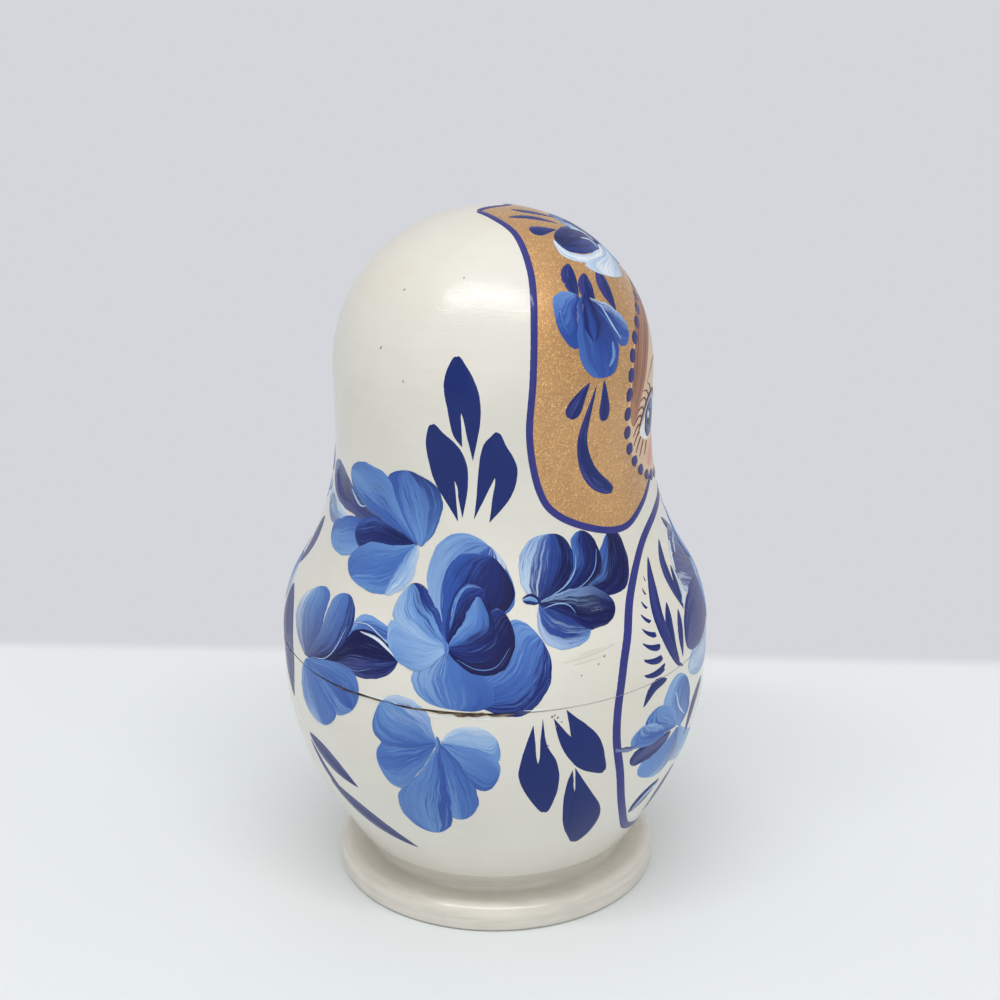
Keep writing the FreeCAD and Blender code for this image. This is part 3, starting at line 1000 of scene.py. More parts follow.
# The tones on the brush, as 0 to 255 screen values.
SCREEN_TONES = {
    "white": (226, 234, 240), "frost": (196, 212, 232), "pale": (150, 182, 222), "sky": (107, 149, 207),
    "blue": (72, 113, 186), "royal": (48, 84, 166), "navy": (22, 40, 114), "ink": (9, 16, 76),
    "slate": (78, 84, 136), "violet": (50, 54, 128), "leaf": (18, 40, 108), "ash": (122, 136, 178),
    "gold": (196, 155, 100), "skin": (221, 190, 160), "blush": (222, 146, 128), "hair": (150, 102, 80),
    "bark": (104, 62, 50), "honey": (186, 136, 102), "lips": (190, 62, 58), "rose": (214, 106, 98),
    "black": (28, 26, 34), "iris": (72, 96, 140), "eye": (238, 238, 232), "shadow": (170, 172, 184),
    # bruise is dark bare wood, painted darker as shade in the seam's gap.
    "grime": (150, 146, 134), "rust": (110, 72, 44), "bruise": (66, 42, 30), "plum": (56, 48, 86),
    "dust": (216, 212, 201),
}
BRUSH_TONES = {name: srgb(*values) for name, values in SCREEN_TONES.items()}


# The painting's places

def mirrored(points):
    """The same places on the other side of the face."""
    return tuple((-point[0], *point[1:]) for point in points)


def both_sides(points):
    """A line and its mirror image."""
    return points, mirrored(points)


def closed_edge(half, top, bottom):
    """A closed outline from one half of it, its top and its bottom."""
    return (top, *half, bottom, *reversed(mirrored(half)))


def round_petal(*half):
    """A petal's outline from its heart to its tip, and back on the other side."""
    return (*half, *reversed(mirrored(half[:-1])))


# Places on the outer doll: (turn in degrees from the face, height in millimetres).
# A petal gives its tones, the number of its tip point and its outline from the heart and back.

SHOULDER_FLOWER = (
    ("frost pale ash", 4, ((138, 89.6), (160, 89), (172, 90.5), (183, 92), (188.5, 90), (184, 87),
        (178, 86), (166, 87.5), (152, 88.6), (138, 89))),
    ("slate navy ink > slate slate ash", 4, ((138, 90.3), (152, 90.6), (164, 90.6), (177, 91.4),
        (185, 94), (185.5, 97.5), (179, 99.4), (171, 98), (164, 95.6), (152, 92.8), (138, 90.6))),
    ("pale blue royal > sky sky blue", 5, ((139, 89.4), (146, 88), (153, 86), (158, 83.6), (166, 81.7),
        (174, 82.8), (176, 86), (171, 88.6), (164, 90.4), (152, 90.6), (139, 90))),
    ("navy ink ink > navy navy royal", 4, ((133, 89), (141, 87.8), (149, 86.8), (156, 85), (160.5, 87.5),
        (158, 91), (150, 92.4), (142, 91.6), (133, 89.4))),
    ("sky blue blue > blue blue sky", 5, ((133, 89.3), (142, 88), (150, 87.4), (157, 85.4), (160.6, 82),
        (157.5, 79.2), (151, 78.1), (145, 77.9), (139.5, 79), (136.5, 83), (133, 88.8))),
    ("sky pale frost", 3, ((133.5, 89.3), (137.5, 86), (140.5, 82), (142, 78.3), (137, 79.4),
        (133.4, 82.2), (132.2, 86), (132.6, 89))),
    ("blue sky blue > royal blue navy", 5, ((132, 88.8), (138, 92), (144, 96.4), (146.5, 99.6),
        (145.5, 102.4), (138, 104.1), (130.5, 103), (125.6, 100.8), (124.4, 97.2), (127.4, 92),
        (131.4, 88.8))),
    ("royal blue sky > blue sky blue", 6, ((132.6, 88.8), (137.5, 90.4), (144, 91.4), (151, 92.6),
        (158.5, 94), (164.8, 95.9), (167.4, 99.4), (163.6, 102), (157, 103), (149.5, 102.6), (145, 100.6),
        (141, 96), (134.6, 90.2))),
)

ROSE = (
    ("navy royal blue > navy blue sky", 7, ((111, 59.6), (105, 57.7), (100.8, 57.5), (97, 59), (94, 61.8),
        (92.4, 65), (92.1, 69), (94.4, 72.8), (98.4, 75.6), (102.6, 75.8), (105, 72), (110.5, 67),
        (112, 62.6))),
    ("pale blue blue > sky blue royal", 6, ((119.8, 70.4), (124.4, 68.4), (127.6, 66.6), (128.6, 64),
        (127.2, 61.6), (123.6, 59.6), (117.5, 58.8), (111.5, 58.8), (107.4, 60.4), (107.2, 63.4),
        (110, 66.4), (115, 69.6), (119.6, 70.8))),
    ("pale blue royal > sky pale blue", 9, ((120, 70.4), (123.6, 74), (126.8, 78.6), (128.6, 83.4),
        (127.4, 87.8), (124.4, 90.8), (119.4, 92.3), (113.6, 92.2), (108.6, 90.2), (103.8, 86.6),
        (100.8, 82.4), (100.7, 79.2), (104, 77), (110, 74), (116, 71.6), (119.8, 70.2))),
    ("pale royal pale > sky royal frost", 5, ((121.6, 73), (124.2, 79), (123.8, 84.4), (120.8, 88.6),
        (115.6, 90.7), (108, 90), (102.6, 85.6), (106, 86), (111, 87.4), (116, 87.6), (119.6, 85),
        (121.2, 80), (120.6, 74))),
    ("royal ink ink > royal navy ink", 6, ((120, 70.6), (122, 75.6), (123, 80.8), (122, 85.2),
        (118.8, 88), (113.4, 88.7), (107.4, 88), (103, 85), (100.7, 81.8), (101.4, 79), (106, 76.4),
        (112, 73.4), (117, 71.4), (120, 70.2))),
    ("ink navy royal > ink ink navy", 7, ((120.4, 70.8), (117, 68.4), (113, 66.7), (108.8, 66.1),
        (105, 66.9), (102.4, 69.4), (101.3, 73), (103, 76.6), (106.4, 78.4), (110, 76), (113.4, 73.4),
        (117, 71.8), (120.2, 71.2))),
    ("navy ink ink > royal navy ink", 5, ((119.8, 71.4), (121, 75), (120, 79), (117, 81.9), (113, 82.7),
        (109.4, 81), (108.4, 78.4), (111, 76), (115, 73.6), (119, 71.6))),
    ("sky blue navy > sky blue ink", 3, ((119.8, 71.2), (116.6, 75), (114.3, 78.2), (111.6, 80.4),
        (108, 77.6), (107, 74.8), (109.4, 72.8), (114, 71.6), (119.4, 71))),
    ("royal sky pale > navy sky pale", 5, ((119.6, 71.2), (121.6, 74.6), (123.6, 77.2), (126.4, 79.6),
        (129.2, 81.5), (133.4, 81.4), (136.6, 78.6), (137.6, 75), (133.4, 72.6), (126, 71.2),
        (119.6, 70.9))),
    ("sky pale pale > pale sky sky", 5, ((119.4, 70.9), (126, 71.6), (132.6, 73.2), (137.4, 74.2),
        (137.8, 71.6), (135.4, 68.6), (131.6, 66.6), (127.2, 66), (123.2, 67.6), (119.4, 70.6))),
)

COLLAR_FLOWER = (
    ("sky ink navy > royal ink ink", 4, ((93.5, 78.6), (88, 80.2), (80, 82), (73, 84), (66, 89.2),
        (60.8, 88.4), (58.8, 84), (60.4, 80), (65, 77.4), (74, 77.8), (84, 78.4), (93.5, 78.6))),
    ("royal ink ink > blue navy ink", 5, ((93.5, 78.6), (88.6, 80.8), (84, 83.4), (81, 87), (80.4, 90.2),
        (76.4, 91.3), (72.4, 89.6), (70, 86), (71, 82.4), (78, 80.2), (86, 79), (93.5, 78.6))),
    ("frost navy ink > pale royal ink", 6, ((93.4, 78.8), (96.6, 80), (98.6, 83), (99.2, 86.4),
        (97.4, 89.4), (93.6, 91.4), (88, 91.8), (83.6, 91), (81, 88.6), (80.6, 85), (83.4, 82), (88, 80),
        (93.2, 78.8))),
    ("frost royal navy > sky navy navy", 7, ((93.6, 78.6), (94.6, 76), (94.6, 73.6), (92.4, 71.2),
        (88.6, 70), (84, 70), (80.4, 71.2), (78.9, 73.4), (81, 76.2), (85, 78), (93.4, 78.8))),
    ("pale ink navy > navy ink ink", 5, ((93.4, 79), (88, 80), (81.6, 80.6), (75.6, 80), (71.2, 78.2),
        (69.2, 75.8), (71, 73.5), (75, 72.5), (80, 72.8), (85.6, 75.6), (93.2, 78.4))),
    ("frost sky navy", 3, ((93.4, 79), (95, 80.4), (97.2, 80.6), (98.4, 79.4), (96.6, 78.6),
        (93.4, 78.5))),
)

BACK_FLOWER = (
    ("pale sky sky > sky royal pale", 6, ((160, 62), (155, 66.6), (150.6, 71), (148, 73.5), (144, 73.9),
        (139.6, 73.2), (136, 72), (134.4, 70), (139, 69.6), (146, 68.6), (152, 66), (160, 61.6))),
    ("ink ink slate > ink ink navy", 8, ((165.4, 60.7), (159, 63.2), (154, 64.8), (151, 68), (149, 70.4),
        (146, 71.3), (140, 70.8), (136, 69.5), (133, 67.6), (134, 65.2), (136.4, 63.4), (140.4, 62.3),
        (145, 62), (152, 61.8), (159, 61.2), (165.4, 60.3))),
    ("ash slate slate > frost sky blue", 5, ((166.4, 60.4), (172, 63), (176, 66), (177.6, 69),
        (175.6, 71.6), (171, 73.9), (166.6, 74.9), (163.4, 74.2), (162, 71.6), (161.4, 68), (163, 64),
        (165, 60.6))),
    ("slate slate ink > sky blue navy", 5, ((165.6, 60.6), (162.6, 65), (161.4, 69.4), (161.6, 73),
        (160, 75), (156.6, 75.9), (153.6, 75.6), (150.6, 73.6), (149.8, 70.8), (151, 67.2), (155, 63.8),
        (161, 61.6), (165.2, 60.6))),
    ("sky blue blue > blue royal sky", 7, ((165.6, 60.5), (160, 61.9), (154, 62.9), (149, 63),
        (145.6, 62.4), (144.2, 60), (144.4, 57), (146.4, 54), (150, 51.8), (153.4, 51.4), (157, 53.6),
        (161, 57), (165.4, 60.1))),
    ("sky blue blue > pale blue blue", 5, ((166, 60.2), (168.6, 56.6), (169.2, 52), (167, 48.8),
        (163.4, 46.9), (158.4, 46.9), (154.6, 48.8), (152.4, 51.8), (156, 54), (160.4, 57),
        (165.6, 60.1))),
)

LOW_FLOWER = (
    ("frost pale sky", 4, ((121, 51.2), (118.4, 53.8), (114.4, 55.2), (110.2, 55), (106.6, 52.4),
        (105.6, 48.6), (107, 47), (112, 49), (117, 50.4), (121, 51))),
    ("blue sky blue > sky blue royal", 5, ((121, 51), (117, 50.8), (112, 50.2), (108, 49), (105.8, 46.6),
        (106, 43.6), (107.6, 40.9), (110.4, 39.6), (114, 41.6), (118, 45.6), (121, 50.4))),
    ("royal blue blue > blue blue sky", 5, ((120.6, 50.8), (115.6, 45.8), (112.4, 41), (111.6, 37),
        (112.8, 33.6), (116, 31.6), (119.2, 32), (121.4, 34.6), (122, 40), (121.4, 50.2))),
    ("royal blue sky > royal sky blue", 5, ((121.4, 50.6), (119.6, 42), (119, 36), (119.2, 31),
        (121.4, 28), (125, 26.5), (129, 26.9), (132.6, 28.8), (134.6, 32), (134.6, 36), (131.6, 39.6),
        (127, 43), (121.6, 50.6))),
    ("blue royal sky > sky blue blue", 6, ((121.8, 50.8), (125.6, 45), (129, 41), (132.6, 38.2),
        (135.6, 38.2), (138.2, 40.8), (139.4, 44), (138.8, 47), (136, 49.4), (129, 49.8), (122, 51))),
    ("sky blue royal > frost sky blue", 6, ((122, 51), (123, 54), (124.2, 57.2), (127, 59.4),
        (130.4, 60.3), (134, 60), (137.2, 58), (139.4, 54.4), (139.8, 50.8), (136.6, 48.2), (130, 48.6),
        (122, 50.8))),
)

# Thin light lines that the brush's edge leaves: tones, width and path. The last are on the near side only.
LIGHT_LINES = (
    ("navy blue sky", 1.3, ((119.6, 74), (118.8, 79.4), (115.4, 82.4), (110.6, 82))),
    ("sky pale sky", 0.26, ((119.7, 74.6), (119, 79.2), (116.6, 81.6), (113.4, 82.2))),
    ("blue sky blue", 0.3, ((117, 69), (111.6, 67.3), (106.6, 67.8), (102.6, 71.4))),
    ("sky pale sky", 0.42, ((91, 79.4), (84.6, 81.2), (80.6, 83.8), (79.4, 87))),
    ("blue pale sky", 0.28, ((89, 79.4), (80, 80.4), (73.6, 83), (71.4, 87))),
    ("sky pale sky", 0.4, ((92.6, 77.6), (88, 78.2), (84.4, 77.6), (82.6, 75.8))),
)
NEAR_LIGHTS = (
    ("sky frost sky", 0.3, ((163, 61.4), (157, 62.8), (153.4, 66), (151.4, 70.6))),
    ("blue ash blue", 0.28, ((158, 62.4), (151, 63.2), (145.4, 63), (139.6, 64.8))),
    ("pale frost pale", 0.34, ((150, 71.6), (145, 72.2), (140, 71), (136.6, 69.8))),
    ("frost white pale", 0.8, ((146.6, 70.6), (141, 70.3), (136.6, 69), (134, 67.8))),
    ("pale frost pale", 0.5, ((166.2, 95.8), (160, 93.4), (156, 94))),
)

# Dabs over the hearts where petals meet: tones, width and path.
HEARTS = (
    ("blue sky blue", 1.2, ((121.8, 52.4), (121.6, 50.6), (121.6, 48.4))),
    ("sky blue sky", 1.2, ((120.8, 72.2), (120, 70.8), (119.6, 69.2))),
    ("ink navy ink", 0.7, ((98.6, 79.8), (96, 80.4), (93.8, 79.6), (92.8, 77.8))),
)

# Split leaves: up the left side, the tip, down the right side, and the slot's top.
SPLIT_LEAVES = (
    (((117.4, 110.6), (120.6, 113.2), (122.2, 117.6), (123.9, 123.2), (122.8, 126.6)), (119.8, 128.8),
     ((116.2, 127.2), (112.8, 124), (111, 120.2), (111.4, 115), (113.8, 107.8)), (117.6, 117.7)),
    (((119, 94.8), (122.6, 98), (127.2, 102.4), (129.8, 107.4), (130.4, 111.6)), (128, 114.9),
     ((123.6, 113.2), (118.4, 110.4), (115.7, 106.4), (115.8, 101.6), (117.5, 95.6)), (120.4, 103.4)),
    (((113.6, 95.4), (112.7, 100.4), (111.9, 106.6), (110.4, 111), (107.8, 113)), (105.2, 113.9),
     ((102.4, 111), (99.6, 108), (98.6, 104.8), (101.2, 99.8), (108.4, 94.8)), (106.4, 104.2)),
    (((97.3, 55.3), (98.9, 51.6), (100.6, 46.8), (101, 43), (98.6, 38)), (93.6, 33.1),
     ((90.8, 37), (90.1, 42), (91.2, 46.4), (93.8, 50.4), (94.9, 56.6)), (96.1, 46)),
    (((92.1, 56.4), (90.8, 51.4), (88.8, 47.6), (85.6, 44), (81.6, 41.9)), (77.1, 41.2),
     ((77.5, 45.6), (79.4, 50), (82.8, 53.4), (86, 55.7), (88.7, 57.9)), (87.4, 51.5)),
    (((86.6, 43.4), (87.9, 40), (88.3, 34.4), (87.2, 28.6), (84.8, 24.6)), (81.4, 21.6),
     ((77.2, 23.2), (74.9, 27.6), (76.2, 31.8), (79.6, 35.8), (85.9, 43.8)), (85.3, 37.6)),
)

# Leaves behind: width and path. The first stand once, in the middle of the back.
BACK_LEAVES = (
    (5.4, ((188, 84.8), (191.6, 79.6), (197, 71))), (11.0, ((189, 69.6), (182, 60), (177, 47))),
)
SIDE_LEAVES = (
    (5.2, ((168.6, 41.4), (159.4, 38), (149, 33.8))), (2.4, ((169, 39.6), (163, 32.4), (154.6, 25.8))),
    (5.4, ((164, 31), (149, 25), (133.6, 19.6))),
)

# The apron's border from the neck down one side, and the scarf's edge from the chin up to the crown.
BORDER = (
    (0, 89.6), (19, 88.6), (34, 87.6), (49, 84.5), (61.5, 77), (68, 70), (71.8, 64), (73.8, 56),
    (74, 48), (71.6, 39.6), (68, 30.6), (61, 22), (53.5, 18), (40, 15.2), (20, 13.9), (0, 13.6))

SCARF_EDGE = (
    (31, 95.2), (38, 93), (44.6, 91.2), (-29.3, -19.4, 89), (-32.5, -12.1, 90.6), (-33.8, -3.3, 95.2),
    (-33.5, 0.6, 101), (-33.5, 2.6, 112.5), (-32, 1.6, 124), (-29.2, 0.3, 133.2), (-25.6, -0.8, 138.6),
    (-20.6, -1.6, 143.1), (-12.2, -1.4, 147.8), (-5.4, 0.9, 149.6))
CROWN_POINT = (0.4, 2.9, 149.9)
# The far edge of the scarf shares the near one's first places, and runs further forward over the crown.
FAR_SHARED = 10
FAR_CROWN = (
    (25.6, -1.6, 138.6), (20.4, -3.6, 143.1), (13.4, -5.2, 147.2), (7.4, -6, 148.7), (3.6, -4, 149.6),
    (2, 0.2, 149.9))

# The line of dots between the scarf and the face, and its dots: length, width and number.
DOT_LINE = (
    (0, 134.4), (12, 133.8), (24, 132.4), (33, 130.2), (41, 127.6), (46, 125), (49, 121.6), (51, 117.6),
    (52.2, 113), (52.2, 108.6), (50.4, 104.6), (46.6, 101.2), (42, 98.4), (36, 96), (25, 93.8),
    (12, 92.6), (0, 92.2))
DOT_LONG, DOT_WIDE, DOTS = 3.15, 2.7, 41
FACE_EDGE = closed_edge(DOT_LINE[1:-1], DOT_LINE[0], DOT_LINE[-1])
DOT_COAT, COMMA_COAT = 3, 1
# The width of the scarf's dark edge.
EDGE_WIDE = 1.55


def moved(points, start, end, size):
    """Places carried from one heart to another at another size."""
    return tuple(((turn - start[0]) * size + end[0], (height - start[1]) * size + end[1])
                 for turn, height in points)


# How two flowers stand on the far side, clear of the back's leaves: their heart mirrored, its new place,
# and their size there.
FAR_SHOULDER = ((-132, 89), (-129, 91.5), 0.78)
FAR_BACK = ((-166, 60.5), (-160, 62), 0.78)

# Coats that lie over what is below them: a flower on single strokes and on other flowers, the strokes on the
# gold, and the lights.
OVER_STROKES, OVER_SIDES = 1, 5
ON_GOLD = 1
SCARF_LIGHT, FLOWER_LIGHT, APRON_LIGHT = 7, 11, 14

# Where the two blades of a split leaf part, as shares of the way across it, and where their slot bends.
UNDER_PART, OVER_PART = 0.66, 0.12
UNDER_BEND, OVER_BEND = 0.55, 0.5

LEAF_TONES = "slate leaf slate"
DROP_TONES = "leaf leaf violet"


def paint_flower(coat, petals, place=None, first=0):
    """A flower laid petal over petal: where it was measured, or with a place mirrored to the far side, and
    with a place that isn't empty moved there."""
    for number, (tones, tip, outline) in enumerate(petals, first):
        if place is not None:
            outline = mirrored(outline)
            if place:
                outline = moved(outline, *place)
        coat.petal(tones, tip, outline, number)


def between(start, end, share):
    """A place part of the way from one place to another."""
    return tuple(a + (b - a) * share for a, b in zip(start, end))


def split_leaf(coat, leaf, side=1):
    """Two blades that share a tip and part at the slot. The second is laid over the first."""
    left, tip, right, slot = leaf
    blades = ((left, UNDER_PART, UNDER_BEND), (tuple(reversed(right)), OVER_PART, OVER_BEND))
    for number, (edge, part, bend) in enumerate(blades):
        inner = (between(left[3], right[1], part), slot, between(slot, edge[0], bend))
        outline = (*edge, tip, *inner, edge[0])
        if side < 0:
            outline = mirrored(outline)
        coat.petal("leaf leaf leaf", len(left), outline, number, LEAF_SHAKE)


class PaintFlowers(bpy.types.Operator):
    """Paint the five flowers of each side."""
    bl_idname = "nesting_doll.paint_flowers"
    bl_label = "Paint the flowers"

    def execute(self, context):
        for skin in skins():
            coat = Coat(skin)
            for petals in (SHOULDER_FLOWER, ROSE, COLLAR_FLOWER, BACK_FLOWER, LOW_FLOWER):
                paint_flower(coat, petals)
            for tones, width, path in LIGHT_LINES + NEAR_LIGHTS:
                coat.pull(tones, width, path, "streak", FLOWER_LIGHT)
            paint_flower(coat, SHOULDER_FLOWER, FAR_SHOULDER)
            paint_flower(coat, BACK_FLOWER, FAR_BACK)
            for petals in (ROSE, COLLAR_FLOWER, LOW_FLOWER):
                paint_flower(coat, petals, ())
            for tones, width, path in LIGHT_LINES:
                coat.pull(tones, width, mirrored(path), "streak", FLOWER_LIGHT)
            for tones, width, path in HEARTS:
                coat.pulls(tones, width, path, "leaf", FLOWER_LIGHT)
            coat.pieces("flowers", "brushed_paint")
        return {"FINISHED"}


class PaintLeaves(bpy.types.Operator):
    """Paint the split leaves and the long leaves of the back."""
    bl_idname = "nesting_doll.paint_leaves"
    bl_label = "Paint the leaves"

    def execute(self, context):
        for skin in skins():
            coat = Coat(skin)
            for leaf in SPLIT_LEAVES:
                split_leaf(coat, leaf)
                split_leaf(coat, leaf, -1)
            for width, path in BACK_LEAVES + SIDE_LEAVES:
                coat.pull(LEAF_TONES, width, path)
            for width, path in SIDE_LEAVES:
                coat.pull(LEAF_TONES, width, mirrored(path))
            coat.pieces("leaves", "even_paint")
        return {"FINISHED"}


def marks_tree():
    """Sets a mark at even steps along a line. The marks grow and turn steadily up to the last."""
    sheet = NodeSheet("marks_along_a_line")
    sheet.ask("Count", "Int", 12)
    for name in ("First size", "Last size"):
        sheet.ask(name, "Float", 1.0)
    for name in ("First lean", "Last lean", "Lift"):
        sheet.ask(name, "Float", 0.0)
    sheet.ask("Mark", "Object")
    sheet.ask("Paint", "Material")
    sheet.begin()
    given = sheet.given
    line = sheet.put("GeometryNodeMeshToCurve", {"Mesh": given["Geometry"]})
    even = sheet.put("GeometryNodeResampleCurve", {"Curve": line, "Count": given["Count"]})
    index = sheet.node("GeometryNodeInputIndex").outputs[0]
    share = sheet.math("DIVIDE", index, sheet.math("SUBTRACT", given["Count"], 1))
    size, lean = sheet.mixed(share, "size"), sheet.mixed(share, "lean")

    outward = sheet.named("outward", "FLOAT_VECTOR")
    rise = sheet.math("MULTIPLY", given["Lift"], sheet.math("SUBTRACT", 1.0, size))
    lift = sheet.put("ShaderNodeVectorMath", {0: outward, "Scale": rise}, operation="SCALE")
    lifted = sheet.put("GeometryNodeSetPosition", {"Geometry": even, "Offset": lift})

    upright = sheet.put("FunctionNodeAlignRotationToVector", {"Vector": outward}, axis="Z")
    tangent = sheet.node("GeometryNodeInputTangent").outputs[0]
    ahead = sheet.put("FunctionNodeAlignRotationToVector", {"Rotation": upright, "Vector": tangent},
                      axis="X", pivot_axis="Z")
    aside = sheet.put("FunctionNodeAxisAngleToRotation", {"Axis": (0.0, 0.0, 1.0), "Angle": lean})
    leaning = sheet.put("FunctionNodeRotateRotation", {"Rotation": ahead, "Rotate By": aside},
                        rotation_space="LOCAL")

    mark = sheet.put("GeometryNodeObjectInfo", {"Object": given["Mark"]}, "Geometry")
    laid = sheet.put("GeometryNodeInstanceOnPoints",
                     {"Points": lifted, "Instance": mark, "Rotation": leaning, "Scale": size})
    dressed = sheet.put("GeometryNodeSetMaterial",
                        {"Geometry": sheet.real(laid), "Material": given["Paint"]})
    sheet.feed(sheet.result[0], dressed)
    return sheet


# Steps along a mark, and where its columns stand across it.
MARK_STEPS = 10
MARK_COLUMNS = (0.0, 0.08, 0.36, 0.64, 0.92, 1.0)


def flat_mark(skin, form, long, wide, tones, coat, bow=0.0):
    """One mark of the brush at the origin, along the x axis, bent to the roundness of the head and, with a
    bow, sideways as well."""
    shares = eased(MARK_STEPS)
    half = FORMS[form](shares)[:, None] * wide / 2 * MM * skin.share
    half[0] = half[-1] = 0
    across = np.array(MARK_COLUMNS)
    ahead = np.repeat((shares[:, None] - 0.5) * long * MM * skin.share, len(across), 1)
    bowed = (4 * bow * shares * (1 - shares))[:, None] * long * MM * skin.share
    aside = half * (2 * across[None] - 1) + bowed
    bend = skin.head_radius
    place = np.stack((ahead, aside, -(ahead ** 2 + aside ** 2) / (2 * bend)), axis=-1)
    normal = np.stack((ahead / bend, aside / bend, np.ones_like(ahead)), axis=-1)
    mesh = joined_strokes("mark", [stroke_of(skin, place, normal, across, coat, tones, 0)])
    soften(mesh)
    return linked("mark", mesh)


def lay_marks(skin, sheet, name, path, mark, around=False, **settings):
    """A row of marks on a doll, along a path of places."""
    line, normal = skin.drape(smooth_path(skin.places(path), around))
    links = [(index, index + 1) for index in range(len(line) - 1)]
    if around:
        line, normal = line[:-1], normal[:-1]
        links[-1] = (len(line) - 1, 0)
    mesh = bpy.data.meshes.new(name)
    mesh.from_pydata(line.tolist(), links, [])
    outward = mesh.attributes.new("outward", "FLOAT_VECTOR", "POINT")
    outward.data.foreach_set("vector", normal.ravel())
    inputs = {word.replace("_", " ").capitalize(): value for word, value in settings.items()}
    inputs.update({"Mark": mark, "Paint": finish_named("even_paint")})
    made = plain_mesh(linked(name, mesh), sheet, inputs)
    body = body_for(halves(skin.doll)[-1])
    piece = linked(f"{body}_{name}", made)
    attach(piece, body)


class PaintDots(bpy.types.Operator):
    """Paint the rows of dots round the face and of commas up the apron."""
    bl_idname = "nesting_doll.paint_dots"
    bl_label = "Paint the dots"

    def execute(self, context):
        sheet = marks_tree()
        for skin in skins():
            dot = flat_mark(skin, "dot", DOT_LONG, DOT_WIDE, "plum violet plum", DOT_COAT)
            lay_marks(skin, sheet, "face_dots", FACE_EDGE, dot, around=True, count=DOTS)
            for side, path, way in (("left", COMMA_LINE, 1), ("right", mirrored(COMMA_LINE), -1)):
                comma = flat_mark(skin, "comma", COMMA_LONG, COMMA_WIDE, DROP_TONES, COMMA_COAT,
                                  way * COMMA_BOW)
                lay_marks(skin, sheet, f"{side}_commas", path, comma, count=COMMAS,
                          first_size=COMMA_GROWTH[0], last_size=COMMA_GROWTH[1],
                          first_lean=way * COMMA_LEAN[0], last_lean=way * COMMA_LEAN[1],
                          lift=proud(skin, COMMA_COAT))
                bpy.data.objects.remove(comma)
            bpy.data.objects.remove(dot)
        return {"FINISHED"}


class PaintApron(bpy.types.Operator):
    """Paint the apron: its border, the rose in its middle, the side blooms, the stems and the leaves."""
    bl_idname = "nesting_doll.paint_apron"
    bl_label = "Paint the apron"

    def execute(self, context):
        for skin in skins():
            border = Coat(skin)
            low = BORDER[-1][1]
            loop = ((-BORDER_LAP, low), *reversed(BORDER[:-1]), *mirrored(BORDER[1:-1]), (BORDER_LAP, low))
            border.pull("violet violet violet", BORDER_WIDE, loop, "band")
            border.pieces("apron_border", "even_paint")
            coat = Coat(skin)
            for tones, width, path in APRON_STROKES:
                coat.pulls(tones, width, path)
            for tones, width, path in APRON_MIDDLE:
                coat.pull(tones, width, path)
            for place in (None, ()):
                paint_flower(coat, APRON_BLOOM, place)
                paint_flower(coat, ROSE_SIDE, place, OVER_STROKES)
            paint_flower(coat, ROSE_MIDDLE, first=OVER_SIDES)
            for tones, width, path in APRON_LIGHTS:
                coat.pulls(tones, width, path, "streak", APRON_LIGHT)
            coat.pieces("apron_flowers", "brushed_paint")
        return {"FINISHED"}


CHIP_AND_GAP_SHADE_COAT, SPECK_COAT, GLINT_COAT = 8, 2, 1


class WearDoll(bpy.types.Operator):
    """Leave the marks of use and paint the seam's light: chipping along the seam, dark in part as painted
    shade of the gap, small flecks and smudges in the lacquer, and painted highlights along the seam's edges.
    """
    bl_idname = "nesting_doll.wear_doll"
    bl_label = "Wear the doll"

    def execute(self, context):
        skin = skins()[0]
        chipped_rim_and_gap_shade = Coat(skin)
        # Chipping at the seam, painted dark in part as shade of the gap between the halves.
        for tip, outline in SEAM_CHIP_OUTLINES_AND_GAP_SHADE:
            chipped_rim_and_gap_shade.petal("rust bruise rust", tip, outline, CHIP_AND_GAP_SHADE_COAT)
        chipped_rim_and_gap_shade.pieces("seam_chips", "seam_edge_wear_and_shade", "bare_wood")
        specks = Coat(skin)
        for width, path in SPECKS:
            specks.pull("grime grime rust", width, path, "dot", SPECK_COAT)
        for width, path in SMUDGES:
            specks.pull("dust dust dust", width, path, "streak")
        # Painted highlights: pale streaks along the rims beside the seam.
        for width, path in SEAM_LIGHTS:
            specks.pull("eye white eye", width, path, "streak", GLINT_COAT)
        specks.pieces("specks", "even_paint", "lacquered_wood")
        return {"FINISHED"}


# The row of commas up the apron: their line, length, width, number, and their growth, lean and bow.
COMMA_LINE = ((54.2, 77.8), (56.4, 75.6), (58.8, 72.8), (60.2, 69.6), (60.8, 66), (61.2, 63), (61, 60.8))
COMMA_LONG, COMMA_WIDE, COMMAS = 8.0, 2.3, 8
COMMA_GROWTH = (0.16, 1.0)
COMMA_LEAN = (-2.55, -1.62)
COMMA_BOW = 0.12
# The border's width in millimetres, and how far in degrees its two ends lap over at the foot.
BORDER_WIDE = 2.1
BORDER_LAP = 1.5
